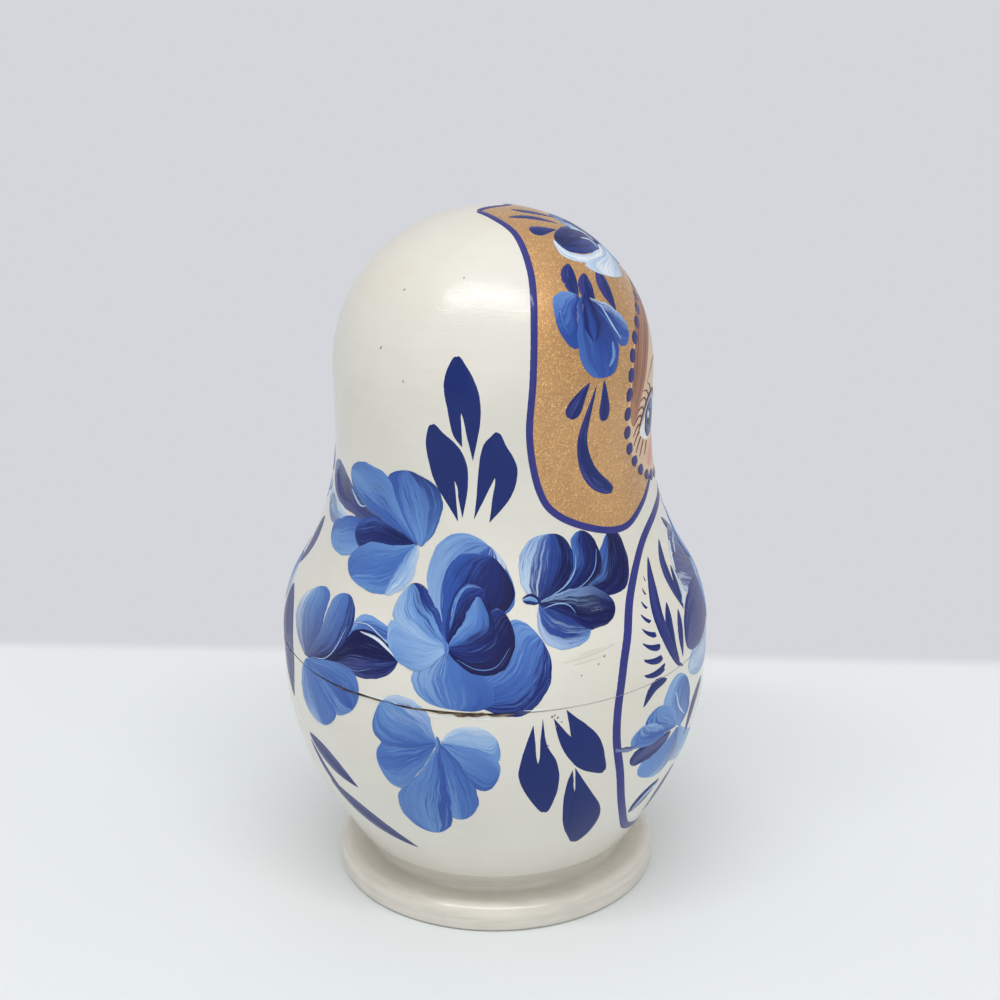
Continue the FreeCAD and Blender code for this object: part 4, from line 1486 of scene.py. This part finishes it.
# Leaves and stems of the apron: tones, width and path. The last stand once, in the middle.
APRON_STROKES = (
    ("leaf violet leaf", 3.3, ((48.8, 81.2), (52, 76), (55, 70), (54, 64.4), (51, 59.6), (47.6, 57.6))),
    ("leaf leaf violet", 3.0, ((38.4, 82.4), (41.6, 78), (42.4, 72.8), (42.2, 68.4))),
    ("leaf leaf violet", 1.9, ((37.4, 76.6), (40, 72.4), (42, 68.8))),
    ("leaf leaf violet", 2.8, ((49, 71.8), (52, 67.4), (52.2, 63.2), (50, 59.4))),
    ("leaf leaf violet", 2.2, ((45.2, 69.4), (47.8, 64.6), (48.2, 59.8))),
    ("leaf leaf violet", 2.7, ((56, 57.3), (61.4, 57.1), (65.4, 53.4))),
    ("slate leaf slate", 4.2, ((31.6, 49.4), (38.6, 45.4), (41.6, 38.4))),
    ("leaf slate leaf", 4.6, ((61.6, 24.8), (57, 27.8), (50.6, 30.8))),
    ("leaf leaf slate", 3.6, ((41, 31), (45.6, 25.6), (46.6, 19.6))),
    ("leaf leaf slate", 3.2, ((30, 28.6), (33.4, 23), (33, 17.4))),
    ("leaf leaf slate", 4.8, ((7, 46), (14.6, 40), (17.6, 29.4))),
    ("leaf leaf slate", 2.6, ((20, 48.4), (25.4, 43.6), (27.6, 35.6))),
    ("leaf leaf slate", 2.6, ((8.6, 82), (14, 84.2), (17, 87.2))),
    ("leaf leaf slate", 2.2, ((21, 80.4), (26, 82.4), (29.6, 85))),
)
APRON_MIDDLE = (
    ("leaf leaf slate", 5.6, ((0, 45), (1.4, 34), (0, 21.6))),
    ("leaf leaf slate", 3.0, ((0, 82.6), (0.6, 85), (0, 88))),
)
APRON_BLOOM = (
    ("pale sky slate > sky pale frost", 5, ((47, 43.4), (43, 41), (37, 38.6), (31, 36.4), (30.6, 33.4),
        (36, 32), (44, 33), (49.6, 35.6), (51, 40), (47.6, 43.4))),
    ("sky blue slate > sky sky pale", 5, ((49, 43.6), (53, 42), (59, 41), (63.6, 39.8), (64.8, 37),
        (61, 34.6), (54, 33), (48.6, 34.4), (47, 38.6), (48.4, 43.2))),
    ("leaf slate navy", 4, ((52, 43.8), (58, 44.2), (64, 44.2), (68.6, 42.2), (67.4, 39.8), (62, 39.6),
        (56, 40.8), (52.4, 43.2))),
    ("sky sky blue > pale blue slate", 6, ((47.6, 43.2), (52.6, 45.4), (56.6, 48.6), (57, 52.6),
        (54.4, 55.8), (50, 56.6), (45.6, 54.4), (43, 50), (42.8, 45.6), (47.4, 43))),
    ("royal blue sky > blue sky sky", 4, ((50, 44), (57.4, 44.6), (64, 47), (63.6, 50.4), (59, 51.8),
        (53.6, 50), (50.2, 46.8), (49.8, 44.2))),
    ("blue royal sky > sky blue pale", 4, ((55, 44), (61.6, 43.4), (68.4, 44.4), (68.8, 47), (65, 48.9),
        (60, 48.2), (56.2, 45.8))),
    ("slate ash slate", 2, ((66, 45.2), (70, 45.3), (74, 46), (74, 45), (70, 44.2), (66, 44.4))),
)
ROSE_SIDE = (
    ("slate navy ink > ash slate slate", 4, ((9, 70), (15, 76), (20, 80.6), (25, 82), (30, 80.4),
        (31.6, 77), (27, 73), (18, 70.4), (9, 69))),
    ("navy slate navy > slate slate frost", 4, ((10, 68), (19, 71.6), (26, 76), (32, 77.6), (36.6, 74.6),
        (36.8, 70.6), (31, 67.6), (20, 66.4), (10, 67))),
    ("frost pale ash > pale frost pale", 5, ((8, 63), (17, 61.4), (27, 61), (36, 60.6), (43, 59),
        (44.4, 55.4), (39, 52.4), (31, 51.8), (20, 54.6), (12, 59), (8, 62.4))),
    ("slate navy ink > navy slate slate", 5, ((9, 66), (20, 69.4), (30, 70.8), (39, 69.6), (45, 65.6),
        (45.2, 61), (38.4, 58.8), (28, 59.8), (18, 61.6), (9, 65))),
)
# The rose in the apron's middle: a petal that stands on both sides, and one above it.
ROSE_WING = ((-3, 66), (-10, 62.4), (-16.6, 58), (-21, 59.6), (-23.6, 64), (-22.4, 68.4), (-17.4, 71.4),
    (-10, 70.6), (-3, 66.8))
ROSE_CREST = ((-2, 66), (-9.6, 68.4), (-16, 72.6), (-17, 77.6), (-12.4, 81.4), (-5, 81.6), (0, 78.4),
    (1.6, 72), (-1.4, 66.4))
ROSE_MIDDLE = (
    ("sky blue sky > pale sky pale", 5, round_petal((0, 63), (-6, 60.6), (-11.4, 57), (-14, 52.6),
        (-10.4, 48.2), (0, 46.6))),
    ("blue royal navy > pale sky sky", 5, ROSE_WING),
    ("navy royal blue > sky sky pale", 5, mirrored(ROSE_WING)),
    ("royal sky royal > frost pale sky", 5, ROSE_CREST),
    ("royal sky royal > sky pale frost", 5, mirrored(ROSE_CREST)),
    ("navy ink navy > royal navy blue", 4, ((0, 60.6), (-6, 62.4), (-11, 66), (-12, 70.6), (-8, 74.4),
        (0, 75.8), (8, 74.4), (12, 70.6), (11, 66), (6, 62.4), (0, 60.6))),
    ("frost sky royal > blue navy ink", 5, ((-7.6, 63), (-8.4, 66.4), (-7.6, 70), (-4, 73), (2, 73.4),
        (4.6, 71.6), (1, 71), (-3.4, 68.8), (-5.6, 65.6), (-7.4, 63))),
    ("pale sky blue > royal navy ink", 5, ((7.6, 62.6), (9, 66), (8, 69.6), (4.4, 71.6), (-0.6, 71),
        (-3, 69.4), (1.6, 68.8), (4.4, 66.6), (5.6, 64), (7.4, 62.6))),
    ("sky blue royal > pale sky blue", 4, round_petal((0, 59.6), (-7.4, 61.2), (-10.8, 64.6),
        (-6.8, 65.9), (0, 64.9))),
)
APRON_LIGHTS = (
    ("frost white frost", 0.6, ((30.6, 80), (34, 77.8), (36.6, 75))),
    ("frost white frost", 0.55, ((36.8, 73.4), (38.6, 71.2), (42, 69.6))),
    ("frost pale frost", 0.5, ((21, 79.4), (26, 79), (30, 77.2))),
    ("frost white frost", 0.5, ((46, 45.6), (50, 49), (52, 53))),
    ("frost pale frost", 0.9, ((60.6, 25.6), (56.6, 28.2), (52, 30))),
)
# Chipping at the seam, painted dark in part as shade of the gap between the halves: the outline's tip point,
# and the outline from its left end and back.
SEAM_CHIP_OUTLINES_AND_GAP_SHADE = (
    (5, ((126, 58.2), (121, 58.3), (116, 58.25), (111, 58.35), (106, 58.25), (101.6, 58.2), (104, 57.8),
        (106.6, 57.5), (108.6, 57.85), (111, 57.4), (113.6, 57.7), (116, 57.35), (118.6, 57.8),
        (121, 57.6), (123.6, 57.95), (126, 58.1))),
    (4, ((163, 58.25), (150, 58.3), (138, 58.25), (124, 58.3), (99, 58.2), (112, 57.95), (124, 57.92),
        (138, 57.98), (150, 57.96), (163, 58.15))),
    (3, ((134, 58.2), (131, 58.3), (128.6, 58.25), (126.6, 58.2), (128, 57.95), (130, 57.7), (132, 57.95),
        (134, 58.1))),
)
# Smudges of dust, painted highlights along the seam's edges, and small flecks: width and path.
SMUDGES = ((1.3, ((89.4, 67.6), (81, 68.4), (73, 69))), (0.8, ((86, 66.9), (81, 67.2), (77, 67.6))))
SEAM_LIGHTS = (
    (0.34, ((126, 58.75), (138, 58.6), (151, 58.7))), (0.3, ((100, 58.7), (97, 58.6), (92, 58.7))),
    (0.4, ((124, 57.05), (121.6, 56.9), (119, 57.1))), (0.4, ((113, 56.9), (110.6, 56.8), (108, 57))),
)
SPECKS = (
    (0.5, ((90.8, 56.6), (91.2, 56.1))), (0.55, ((92.2, 56.9), (92.7, 56.5))),
    (0.35, ((89.8, 55.4), (90.1, 55.1))), (0.4, ((93.4, 50.4), (93.7, 49.8))),
    (0.3, ((91.4, 54.6), (91.5, 54.2))), (0.45, ((91.6, 57.1), (92, 56.8))),
    (0.4, ((151, 128.4), (151.7, 127.8))), (0.35, ((139, 123), (139.5, 122.6))),
    (0.4, ((150, 139), (150.6, 138.6))), (0.3, ((121, 142.2), (121.6, 141.9))),
    (0.4, ((76.6, 67.4), (77.3, 67.1))), (0.35, ((78.8, 66.2), (79.3, 65.9))),
    (0.3, ((84, 64.6), (84.5, 64.5))), (0.35, ((203, 103), (203.6, 102.6))),
    (0.3, ((-60, 60.6), (-60.6, 60.4))),
)

# The scarf's painting, in places on the outer doll: (turn, height), or (x, y, height) near the crown.
SCARF_FLOWER = (
    ("sky royal navy > blue royal royal", 4, ((65.6, 137.6), (70.6, 138.8), (76, 139), (80, 137.6),
        (81, 134), (79.4, 131), (75.6, 128.6), (72.4, 130), (71.6, 133.6), (68.6, 136.4), (65.6, 137.4))),
    ("frost navy royal > sky royal blue", 4, ((62, 137.2), (56, 135.8), (50, 134), (46.2, 131.4),
        (46, 128.6), (49.6, 126.6), (54.4, 127.4), (58, 131), (61.6, 136.8))),
    ("royal navy navy > blue royal royal", 6, ((63.6, 137.8), (68.8, 136.4), (72.2, 133), (74, 129.2),
        (73.8, 125.8), (70.6, 123.1), (65, 122.1), (59.6, 122.5), (55.8, 125), (54.4, 128), (57, 132),
        (61, 136), (63.6, 137.8))),
    ("ink navy ink > navy royal navy", 3, ((62, 138), (66.8, 136), (69, 132.4), (66.6, 129.4),
        (61, 131.4), (60, 135), (62, 138))),
)
SCARF_LINES = (
    ("pale frost pale", 0.55, ((57, 135.4), (55, 131.4), (52.4, 128))),
    ("blue sky sky", 1.1, ((57.6, 128.4), (58.6, 125.6), (62, 123.8))),
    ("royal blue royal", 0.8, ((77.6, 136.4), (78.2, 134), (76.8, 131.4))),
    ("frost white frost", 0.9, ((-5.4, -15, 146), (-3.6, -18.4, 144.6), (-5.4, -20.4, 143))),
    ("frost white frost", 0.6, ((-8.4, -16.4, 145), (-6.6, -19, 143.6), (-8, -20.4, 142.4))),
)
CROWN_FLOWER = (
    ("frost white frost", 5, ((-3, -21.6, 142), (-9, -21.6, 141), (-15.6, -16.4, 141.6),
        (-17.4, -12, 142.8), (-16.4, -9.2, 144.5), (-12.8, -9, 146.3), (-14.6, -10.6, 145.2),
        (-15.2, -12.6, 143.9), (-13.8, -15.8, 143), (-9, -19.8, 142.4), (-3, -20.6, 142.7))),
    ("royal navy navy > navy ink navy", 5, ((-1.4, -21.4, 142.3), (-8.8, -20.2, 142.1),
        (-13.8, -15.6, 143.1), (-15.2, -11.8, 144.2), (-14.2, -9.8, 145.4), (-11.5, -9.6, 146.6),
        (-7.4, -12, 146.8), (-4.2, -15.2, 146), (-1, -19.2, 143.9), (-1.4, -21.2, 142.5))),
    ("pale frost sky > frost white frost", 5, ((-2.6, -22.4, 141.4), (-9.4, -21, 141),
        (-13.8, -17, 141.6), (-17, -14, 141.6), (-17.4, -16.8, 139.8), (-15.3, -21, 138),
        (-11.8, -24.2, 136.9), (-8.2, -25, 137.8), (-4.6, -24.4, 139.5), (-2.6, -22.6, 141.2))),
)
CROWN_MIDDLE = (
    ("frost blue frost > sky navy sky", 3, ((0, -19, 144.2), (-3.4, -17.6, 145), (-4.8, -14.8, 146.2),
        (0, -12.4, 147.6), (4.8, -14.8, 146.2), (3.4, -17.6, 145))),
    ("sky pale sky > pale frost pale", 3, ((0, -21.6, 142), (-4.2, -23.4, 140.2), (-4.8, -25.8, 137.6),
        (0, -27.4, 136.1), (4.8, -25.8, 137.6), (4.2, -23.4, 140.2))),
    ("navy ink navy", 2, ((0, -22.6, 141.4), (-5, -21, 142.2), (0, -15, 146.2), (5, -21, 142.2),
        (1, -22.6, 141.4))),
)
# Strokes on the gold: form, width and path. Those on the crown stand only on the near side.
CROWN_STROKES = (
    ("leaf", 2.0, ((-5.2, -1.8, 149.6), (-4.9, -7, 149), (-5.4, -12.6, 147.2))),
    ("drop", 4.8, ((-8.8, -11, 147.1), (-10, -8, 147.7), (-11.2, -4.8, 147.8))),
)
SCARF_STROKES = (
    ("leaf", 3.8, ((60.6, 142.8), (66.6, 140.6), (67.4, 137))),
    ("leaf", 4.0, ((55, 140.8), (60.6, 138), (61, 134.2))),
    ("leaf", 3.9, ((43.4, 140.6), (48.4, 137.4), (49, 133.2))),
    ("drop", 5.2, ((71.4, 122), (75.6, 119.4), (80.2, 115.4))),
    ("drop", 4.2, ((65, 121.8), (65.2, 117.6), (65.2, 113))),
    ("drop", 5.0, ((68.6, 121.2), (72.4, 115.6), (74.8, 110), (73, 104.6), (68.6, 100.6), (60.6, 97.2))),
)
CROWN_LAST = (
    ("leaf", 2.4, ((-0.6, -3.8, 149.8), (-1.4, -8.2, 149), (-1.4, -13, 147.5))),
)
# The face. Cheek and lock of hair: tones, the tip's number and the outline. Then lines and outlines alone.
CHEEK = ("skin blush skin", 4, ((22, 103.4), (27, 104), (33, 102.6), (36, 100.4), (34, 97.6), (28, 96.2),
    (22, 97), (19, 99.6), (20, 102.2)))
HAIR_LOCK = ("honey hair bark > hair hair honey", 4, ((0, 136), (14, 135), (29, 132.6), (41, 128),
    (48.6, 121), (51, 113), (48, 108.6), (44, 112), (38.6, 118.4), (28, 124.4), (14, 128.4), (2, 130),
    (0, 131)))
HAIR_STRANDS = (
    ((1, 134.6), (14, 133), (27, 130), (38, 124.6), (45.6, 117), (49.4, 110.6)),
    ((1, 133), (14, 131.4), (26, 128.2), (36.4, 122.8), (43.6, 115.8), (48, 110)),
    ((2, 131.6), (14, 129.8), (25, 126.4), (34.6, 121.4), (42, 114.6), (46.8, 110)),
    ((4, 135.6), (18, 134.2), (31, 131), (42, 125), (48.4, 117.6), (50.6, 112)),
)
EYE_WHITE = (
    (15, 107.4), (20, 110.6), (27, 112.6), (35, 112.2), (41, 109.2), (43.4, 106.6), (38, 104.2),
    (30, 103), (21, 103.8), (15.6, 106.4))
LID = ((14, 107), (20, 110.8), (27, 113), (35, 112.6), (41.4, 109.4), (44.4, 106.4))
BROW = ((11, 116.4), (19, 118.8), (28, 119.2), (37, 116.4))
LASHES = (
    ((30, 112.8), (32.6, 115), (36, 116.2)), ((33, 112.6), (36.6, 114.6), (40.6, 115.2)),
    ((36, 111.8), (39.4, 113.6), (43.6, 113.4)), ((38.4, 110.8), (42, 112), (46.2, 111.2)),
    ((40.4, 109.6), (44, 110.4), (47.8, 109)), ((41.8, 108.2), (45, 108.4), (48.2, 106.6)),
    ((42.6, 106.8), (45, 106.4), (47.6, 104.6)), ((41.6, 105.6), (43.6, 104.4), (45.8, 102.6)),
    ((39, 104.4), (40.6, 103), (42.6, 101.2)), ((35, 103.4), (36.2, 102), (37.6, 100.6)),
)
# The iris, its pupil and a glint: tones, width, and how far aside and above. A millimetre of width is that
# many degrees of turn at the eyes.
IRIS_PLACE = (31, 107.7)
IRIS_WIDE = 8.2
IRIS_TOUCHES = (
    ("navy iris royal", IRIS_WIDE, 0, 0), ("black black ink", IRIS_WIDE * 0.48, 0, 0),
    ("white white white", IRIS_WIDE * 0.2, 2.6, 1.1),
)
TURN_PER_MM = 1.75
NOSE = (((-3.4, 104.4), (-4.4, 102.6), (-2.6, 101)), ((-1.8, 101.2), (0, 100.6), (1.8, 101.2)))
LIP_UPPER = (
    (-9, 97.8), (-5, 98.8), (-1.8, 99.4), (0, 98.9), (1.8, 99.4), (5, 98.8), (9, 97.8), (4, 97.4),
    (0, 97.2), (-4, 97.4))
LIP_LOWER = ((-8.4, 97.6), (-3, 97.6), (3, 97.6), (8.4, 97.6), (5, 95.8), (0, 95), (-5, 95.8))


# The rows of a panel for each facet of its straight reach, as the way over the head is longer, and the
# share of that way at which its edge turns down.
PANEL_ROWS = 1.25
PANEL_TURN = 0.9965


def panel(coat, tones, outline, centre, cell, number=0):
    """Lays an even coat inside a closed outline, such as the gold of the scarf or the skin of the face."""
    skin = coat.skin
    around = smooth_path(skin.places(outline), around=True)
    middle = skin.places((centre,))[0]
    fine = cell * MM * skin.share ** PANEL_POWER
    steps = int(length_of(around) / fine)
    rings = int(np.linalg.norm(around - middle, axis=1).max() * PANEL_ROWS / fine)
    edge = along(around, np.linspace(0, 1, steps, endpoint=False))
    shares = np.append(np.linspace(0, 1, rings + 1)[1:-1], (PANEL_TURN, 1.0))
    sheet = middle + (edge - middle)[None] * shares[:, None, None]
    place, normal = skin.drape(np.concatenate((np.repeat(middle[None, None], steps, 1), sheet)))
    rise = np.full(place.shape[:2], proud(skin, number))
    rise[-1] = -EDGE_SINK
    top = place + normal * rise[..., None]
    under = place - normal * sizes().paint_sink
    rows = len(shares)
    points = np.vstack((top[:1, 0], top[1:].reshape(-1, 3), under[:1, 0], under[1:-1].reshape(-1, 3)))
    low = 1 + rows * steps

    def at(row, step):
        return 1 + row * steps + step % steps

    def below(row, step):
        return at(row, step) if row == rows - 1 else low + 1 + row * steps + step % steps

    faces = []
    for step in range(steps):
        faces.append((0, at(0, step + 1), at(0, step)))
        faces.append((low, below(0, step), below(0, step + 1)))
        for row in range(rows - 1):
            for corner, first, second in ((at, step, step + 1), (below, step + 1, step)):
                faces.append((corner(row, first), corner(row, second),
                              corner(row + 1, second), corner(row + 1, first)))
    spoke = np.cross(place[1, 0] - middle, place[1, steps // 4] - middle)
    if np.dot(spoke, normal[0, 0]) > 0:
        faces = [face[::-1] for face in faces]
    fan = np.full((len(points), 2), 0.5)
    coat.strokes.append(stroke_made(points, faces, points / skin.share, fan, tones))


# The middle of the scarf's gold and of the face's skin, and the longest facets there in millimetres.
SCARF_CENTRE, SCARF_CELL = (0, 118), 0.8
FACE_CENTRE, FACE_CELL = (0, 112), 0.9
# Where the gold's edge passes under the chin.
CHIN = (0, 96.4)
# The face's widths in millimetres, and its coats one over the other.
FINE_WIDE, LASH_WIDE, BROW_WIDE, LID_WIDE = 0.55, 0.75, 0.9, 1.0
SKIN_COAT, CHEEK_COAT, LINE_COAT, IRIS_COAT, LASH_COAT, LID_COAT = 1, 2, 3, 4, 6, 7


class PaintScarf(bpy.types.Operator):
    """Lay the gold of the scarf and draw its edge."""
    bl_idname = "nesting_doll.paint_scarf"
    bl_label = "Paint the scarf"

    def execute(self, context):
        for skin in skins():
            gold = Coat(skin)
            far = (*mirrored(SCARF_EDGE[:FAR_SHARED]), *FAR_CROWN)
            around = (CROWN_POINT, *reversed(SCARF_EDGE), CHIN, *far)
            panel(gold, "gold gold gold", around, SCARF_CENTRE, SCARF_CELL)
            gold.pieces("gold_scarf", "bronze_powder", "gold_paint")
            edge = Coat(skin)
            for side, number in ((SCARF_EDGE, 1), (far, 2)):
                edge.pull("violet violet violet", EDGE_WIDE, (*side, CROWN_POINT), "band", number)
            edge.pieces("scarf_edge", "even_paint")
        return {"FINISHED"}


class PaintScarfFlowers(bpy.types.Operator):
    """Paint the flowers and drops on the gold of the scarf."""
    bl_idname = "nesting_doll.paint_scarf_flowers"
    bl_label = "Paint the scarf's flowers"

    def execute(self, context):
        for skin in skins():
            coat = Coat(skin)
            for place in (None, ()):
                paint_flower(coat, SCARF_FLOWER, place, OVER_STROKES)
                paint_flower(coat, CROWN_FLOWER, place, OVER_STROKES)
            paint_flower(coat, CROWN_MIDDLE, first=OVER_SIDES)
            for form, width, path in CROWN_STROKES:
                coat.pull(DROP_TONES, width, path, form, ON_GOLD)
            for form, width, path in SCARF_STROKES:
                coat.pulls(DROP_TONES, width, path, form, ON_GOLD)
            for form, width, path in CROWN_LAST:
                coat.pull(DROP_TONES, width, path, form, ON_GOLD)
            for tones, width, path in SCARF_LINES:
                coat.pulls(tones, width, path, "streak", SCARF_LIGHT)
            coat.pieces("scarf_flowers", "brushed_paint")
        return {"FINISHED"}


class PaintFace(bpy.types.Operator):
    """Paint the face: skin, parted hair, eyes with lashes, cheeks, nose and mouth."""
    bl_idname = "nesting_doll.paint_face"
    bl_label = "Paint the face"

    def execute(self, context):
        for skin in skins():
            coat = Coat(skin)
            panel(coat, "skin skin skin", FACE_EDGE, FACE_CENTRE, FACE_CELL, SKIN_COAT)
            for tones, tip, outline in (CHEEK, HAIR_LOCK):
                coat.petals(tones, tip, outline, CHEEK_COAT)
            for number, strand in enumerate(HAIR_STRANDS):
                tones = "bark bark hair" if number % 2 else "honey honey hair"
                coat.pulls(tones, FINE_WIDE, strand, "streak", LINE_COAT)
            coat.petals("shadow eye eye", 5, EYE_WHITE, LINE_COAT)
            for side in (1, -1):
                self.iris(coat, side)
            coat.pulls("bark black bark", LID_WIDE, LID, "streak", LID_COAT)
            coat.pulls("hair bark hair", BROW_WIDE, BROW, "leaf", LINE_COAT)
            for lash in LASHES:
                coat.pulls("bark bark bark", LASH_WIDE, lash, "comma", LASH_COAT)
            for line in NOSE:
                coat.pull("blush rose blush", FINE_WIDE, line, "streak", LINE_COAT)
            coat.petal("lips lips rose", 6, LIP_UPPER, LINE_COAT)
            coat.petal("lips rose lips", 3, LIP_LOWER, LINE_COAT + 1)
            coat.pieces("face", "even_paint")
        return {"FINISHED"}

    def iris(self, coat, side):
        """An iris, its pupil and a glint, each a round touch of the brush."""
        turn, height = IRIS_PLACE
        for number, (tones, wide, aside, above) in enumerate(IRIS_TOUCHES, IRIS_COAT):
            half = wide / 2
            spread = half * TURN_PER_MM
            outline = [
                (side * turn + aside + spread * math.sin(step), height + above - half * math.cos(step))
                for step in np.linspace(0, 2 * math.pi, 12, endpoint=False)]
            coat.petal(tones, 6, (*outline, outline[0]), number)


SKINS = {}


def skins():
    """The painted outside of every doll, worked out once."""
    if not SKINS:
        SKINS.update({doll: Skin(doll) for doll in DOLLS})
    return list(SKINS.values())


# Studio

# The photograph's camera: its lens and sensor in millimetres, its turn, its place, its dip and its roll.
LENS = 85.0
SENSOR = 36.0
CAMERA_TURN = math.radians(-107.0)
CAMERA_BACK = 469.52 * MM
CAMERA_RISE = 277.84 * MM
CAMERA_ASIDE = 1.342 * MM
CAMERA_DIP = math.radians(22.2395)
CAMERA_ROLL = math.radians(0.40034)
# Where the floor ends in the photograph: how far behind the doll, how steeply across, and how softly.
HORIZON = 101.1 * MM
HORIZON_TILT = 0.0592
HORIZON_SOFT = 4 * MM
# Half the floor's width in metres, the light from all round, and the height that the lamps face.
STAGE_REACH = 4.0
WORLD_LIGHT = 0.6
LAMP_AIM = 75 * MM
# Lamps: name, turn from the face and rise in degrees, distance, width and height in metres, and watts.
LAMPS = (
    ("strip", 114.0, 67.5, 1.3, 1.3, 0.08, 7.0),
    ("overhead", 60.0, 82.0, 1.6, 2.2, 2.2, 5.8),
    ("front", 96.0, 16.0, 1.6, 1.6, 1.0, 2.0),
)
# The floor's corners, as shares of its reach.
CORNERS = ((-1, -1), (1, -1), (1, 1), (-1, 1))


def across_and_along():
    """The camera's right, and the level way from the camera to the doll."""
    across = np.array((math.cos(CAMERA_TURN), math.sin(CAMERA_TURN), 0.0))
    along = np.array((-math.sin(CAMERA_TURN), math.cos(CAMERA_TURN), 0.0))
    return across, along


def stand(name, data, place, right, upward, backward):
    """A camera or a lamp in the scene, turned by its own three axes."""
    obj = linked(name, data)
    columns = np.stack((right, upward, backward), axis=1)
    obj.matrix_world = Matrix([[*columns[row], place[row]] for row in range(3)] + [[0, 0, 0, 1]])
    return obj


def set_camera():
    """The camera at the photograph's place."""
    across, along = across_and_along()
    up = np.array((0.0, 0.0, 1.0))
    place = across * CAMERA_ASIDE - along * CAMERA_BACK + up * CAMERA_RISE
    ahead = along * math.cos(CAMERA_DIP) - up * math.sin(CAMERA_DIP)
    level_up = np.cross(across, ahead)
    right = across * math.cos(CAMERA_ROLL) - level_up * math.sin(CAMERA_ROLL)
    upward = across * math.sin(CAMERA_ROLL) + level_up * math.cos(CAMERA_ROLL)
    data = bpy.data.cameras.new("camera")
    data.lens = LENS
    data.sensor_width = SENSOR
    bpy.context.scene.camera = stand("camera", data, place, right, upward, -ahead)


def make_floor(name):
    """Pale paper: floor near the doll, and beyond a soft line the tone of the backdrop."""
    finish = Finish(name)
    across, along = across_and_along()
    place = finish.object_place()
    reach = finish.reach(place, tuple(along + across * HORIZON_TILT))
    beyond = finish.spread(reach, HORIZON - HORIZON_SOFT, HORIZON + HORIZON_SOFT)
    paper = finish.noise(place, 9.0, 3.0)
    floor = tuple(colours().floor)
    colour = finish.blend(finish.spread(paper, 0.3, 0.7), floor, shade(floor, 0.985))
    finish.surface(colour, 0.7, specular_ior_level=0.15)
    glow = finish.put("ShaderNodeEmission", {"Color": tuple(colours().wall)})
    rays = finish.node("ShaderNodeLightPath")
    seen = finish.math("MAXIMUM", rays.outputs["Is Camera Ray"], rays.outputs["Is Glossy Ray"])
    seen = finish.math("MAXIMUM", seen, rays.outputs["Is Transmission Ray"])
    shown = finish.math("MULTIPLY", beyond, seen)
    mix = finish.put("ShaderNodeMixShader", {0: shown, 1: finish.shader.outputs[0], 2: glow})
    finish.feed(finish.tree.nodes["Material Output"].inputs["Surface"], mix)
    return finish.material


MAKERS = {
    "lacquered_ground": make_ground,
    "lacquered_foot": make_foot,
    "turned_lime_wood": make_wood,
    "seam_edge_wear_and_shade": make_seam_wear_and_shade,
    "even_paint": make_even_paint,
    "brushed_paint": make_brush,
    "bronze_powder": make_gold,
    "studio_floor": make_floor,
}


def area_light(name, turn, rise, away, wide, high, power):
    """A lamp panel that faces the doll, placed by its turn from the face and its rise, in degrees."""
    turn, rise = math.radians(turn), math.radians(rise)
    way = np.array((-math.sin(turn) * math.cos(rise), -math.cos(turn) * math.cos(rise), math.sin(rise)))
    data = bpy.data.lights.new(name, "AREA")
    data.shape = "RECTANGLE"
    data.size, data.size_y = wide, high
    data.energy = power
    side = np.cross((0.0, 0.0, 1.0), way)
    side /= np.linalg.norm(side)
    stand(name, data, np.array((0.0, 0.0, LAMP_AIM)) + way * away, side, np.cross(way, side), way)


class SetStage(bpy.types.Operator):
    """Lay the floor and place the lights and the camera."""
    bl_idname = "nesting_doll.set_stage"
    bl_label = "Set the stage"

    def execute(self, context):
        corners = [(x * STAGE_REACH, y * STAGE_REACH, 0.0) for x, y in CORNERS]
        mesh = bpy.data.meshes.new("floor")
        mesh.from_pydata(corners, [], [(0, 1, 2, 3)])
        mesh.materials.append(finish_named("studio_floor"))
        linked("floor", mesh)
        set_camera()
        for lamp in LAMPS:
            area_light(*lamp)
        world = bpy.data.worlds.new("studio")
        world.use_nodes = True
        background = world.node_tree.nodes["Background"].inputs
        background["Color"].default_value = (1.0, 1.0, 1.0, 1.0)
        background["Strength"].default_value = WORLD_LIGHT
        context.scene.world = world
        context.scene.view_settings.view_transform = "Standard"
        return {"FINISHED"}


class NESTINGDOLL_PT_tools(bpy.types.Panel):
    """The steps of making the doll, in order."""
    bl_label = "Nesting Doll"
    bl_space_type = "VIEW_3D"
    bl_region_type = "UI"
    bl_category = "Nesting Doll"

    def draw(self, context):
        for operator in STEPS:
            self.layout.operator(operator.bl_idname)
        for group in (context.scene.nesting_doll_sizes, context.scene.nesting_doll_colours):
            for name in group.__annotations__:
                self.layout.prop(group, name)


STEPS = (SetStage, TurnShells, PaintScarf, PaintScarfFlowers, PaintFace, PaintDots, PaintFlowers,
         PaintLeaves, PaintApron, WearDoll)
CLASSES = (NestingDollSizes, NestingDollColours, *STEPS, NESTINGDOLL_PT_tools)


def register():
    """Makes the properties, the steps and the panel known."""
    for each in CLASSES:
        bpy.utils.register_class(each)
    bpy.types.Scene.nesting_doll_sizes = bpy.props.PointerProperty(type=NestingDollSizes)
    bpy.types.Scene.nesting_doll_colours = bpy.props.PointerProperty(type=NestingDollColours)


def unregister():
    """Takes them away again."""
    del bpy.types.Scene.nesting_doll_colours
    del bpy.types.Scene.nesting_doll_sizes
    for each in reversed(CLASSES):
        bpy.utils.unregister_class(each)


def main():
    """Makes the whole scene."""
    register()
    for operator in STEPS:
        group, name = operator.bl_idname.split(".")
        getattr(getattr(bpy.ops, group), name)()
    bpy.context.view_layer.update()


if __name__ == "__main__":
    main()
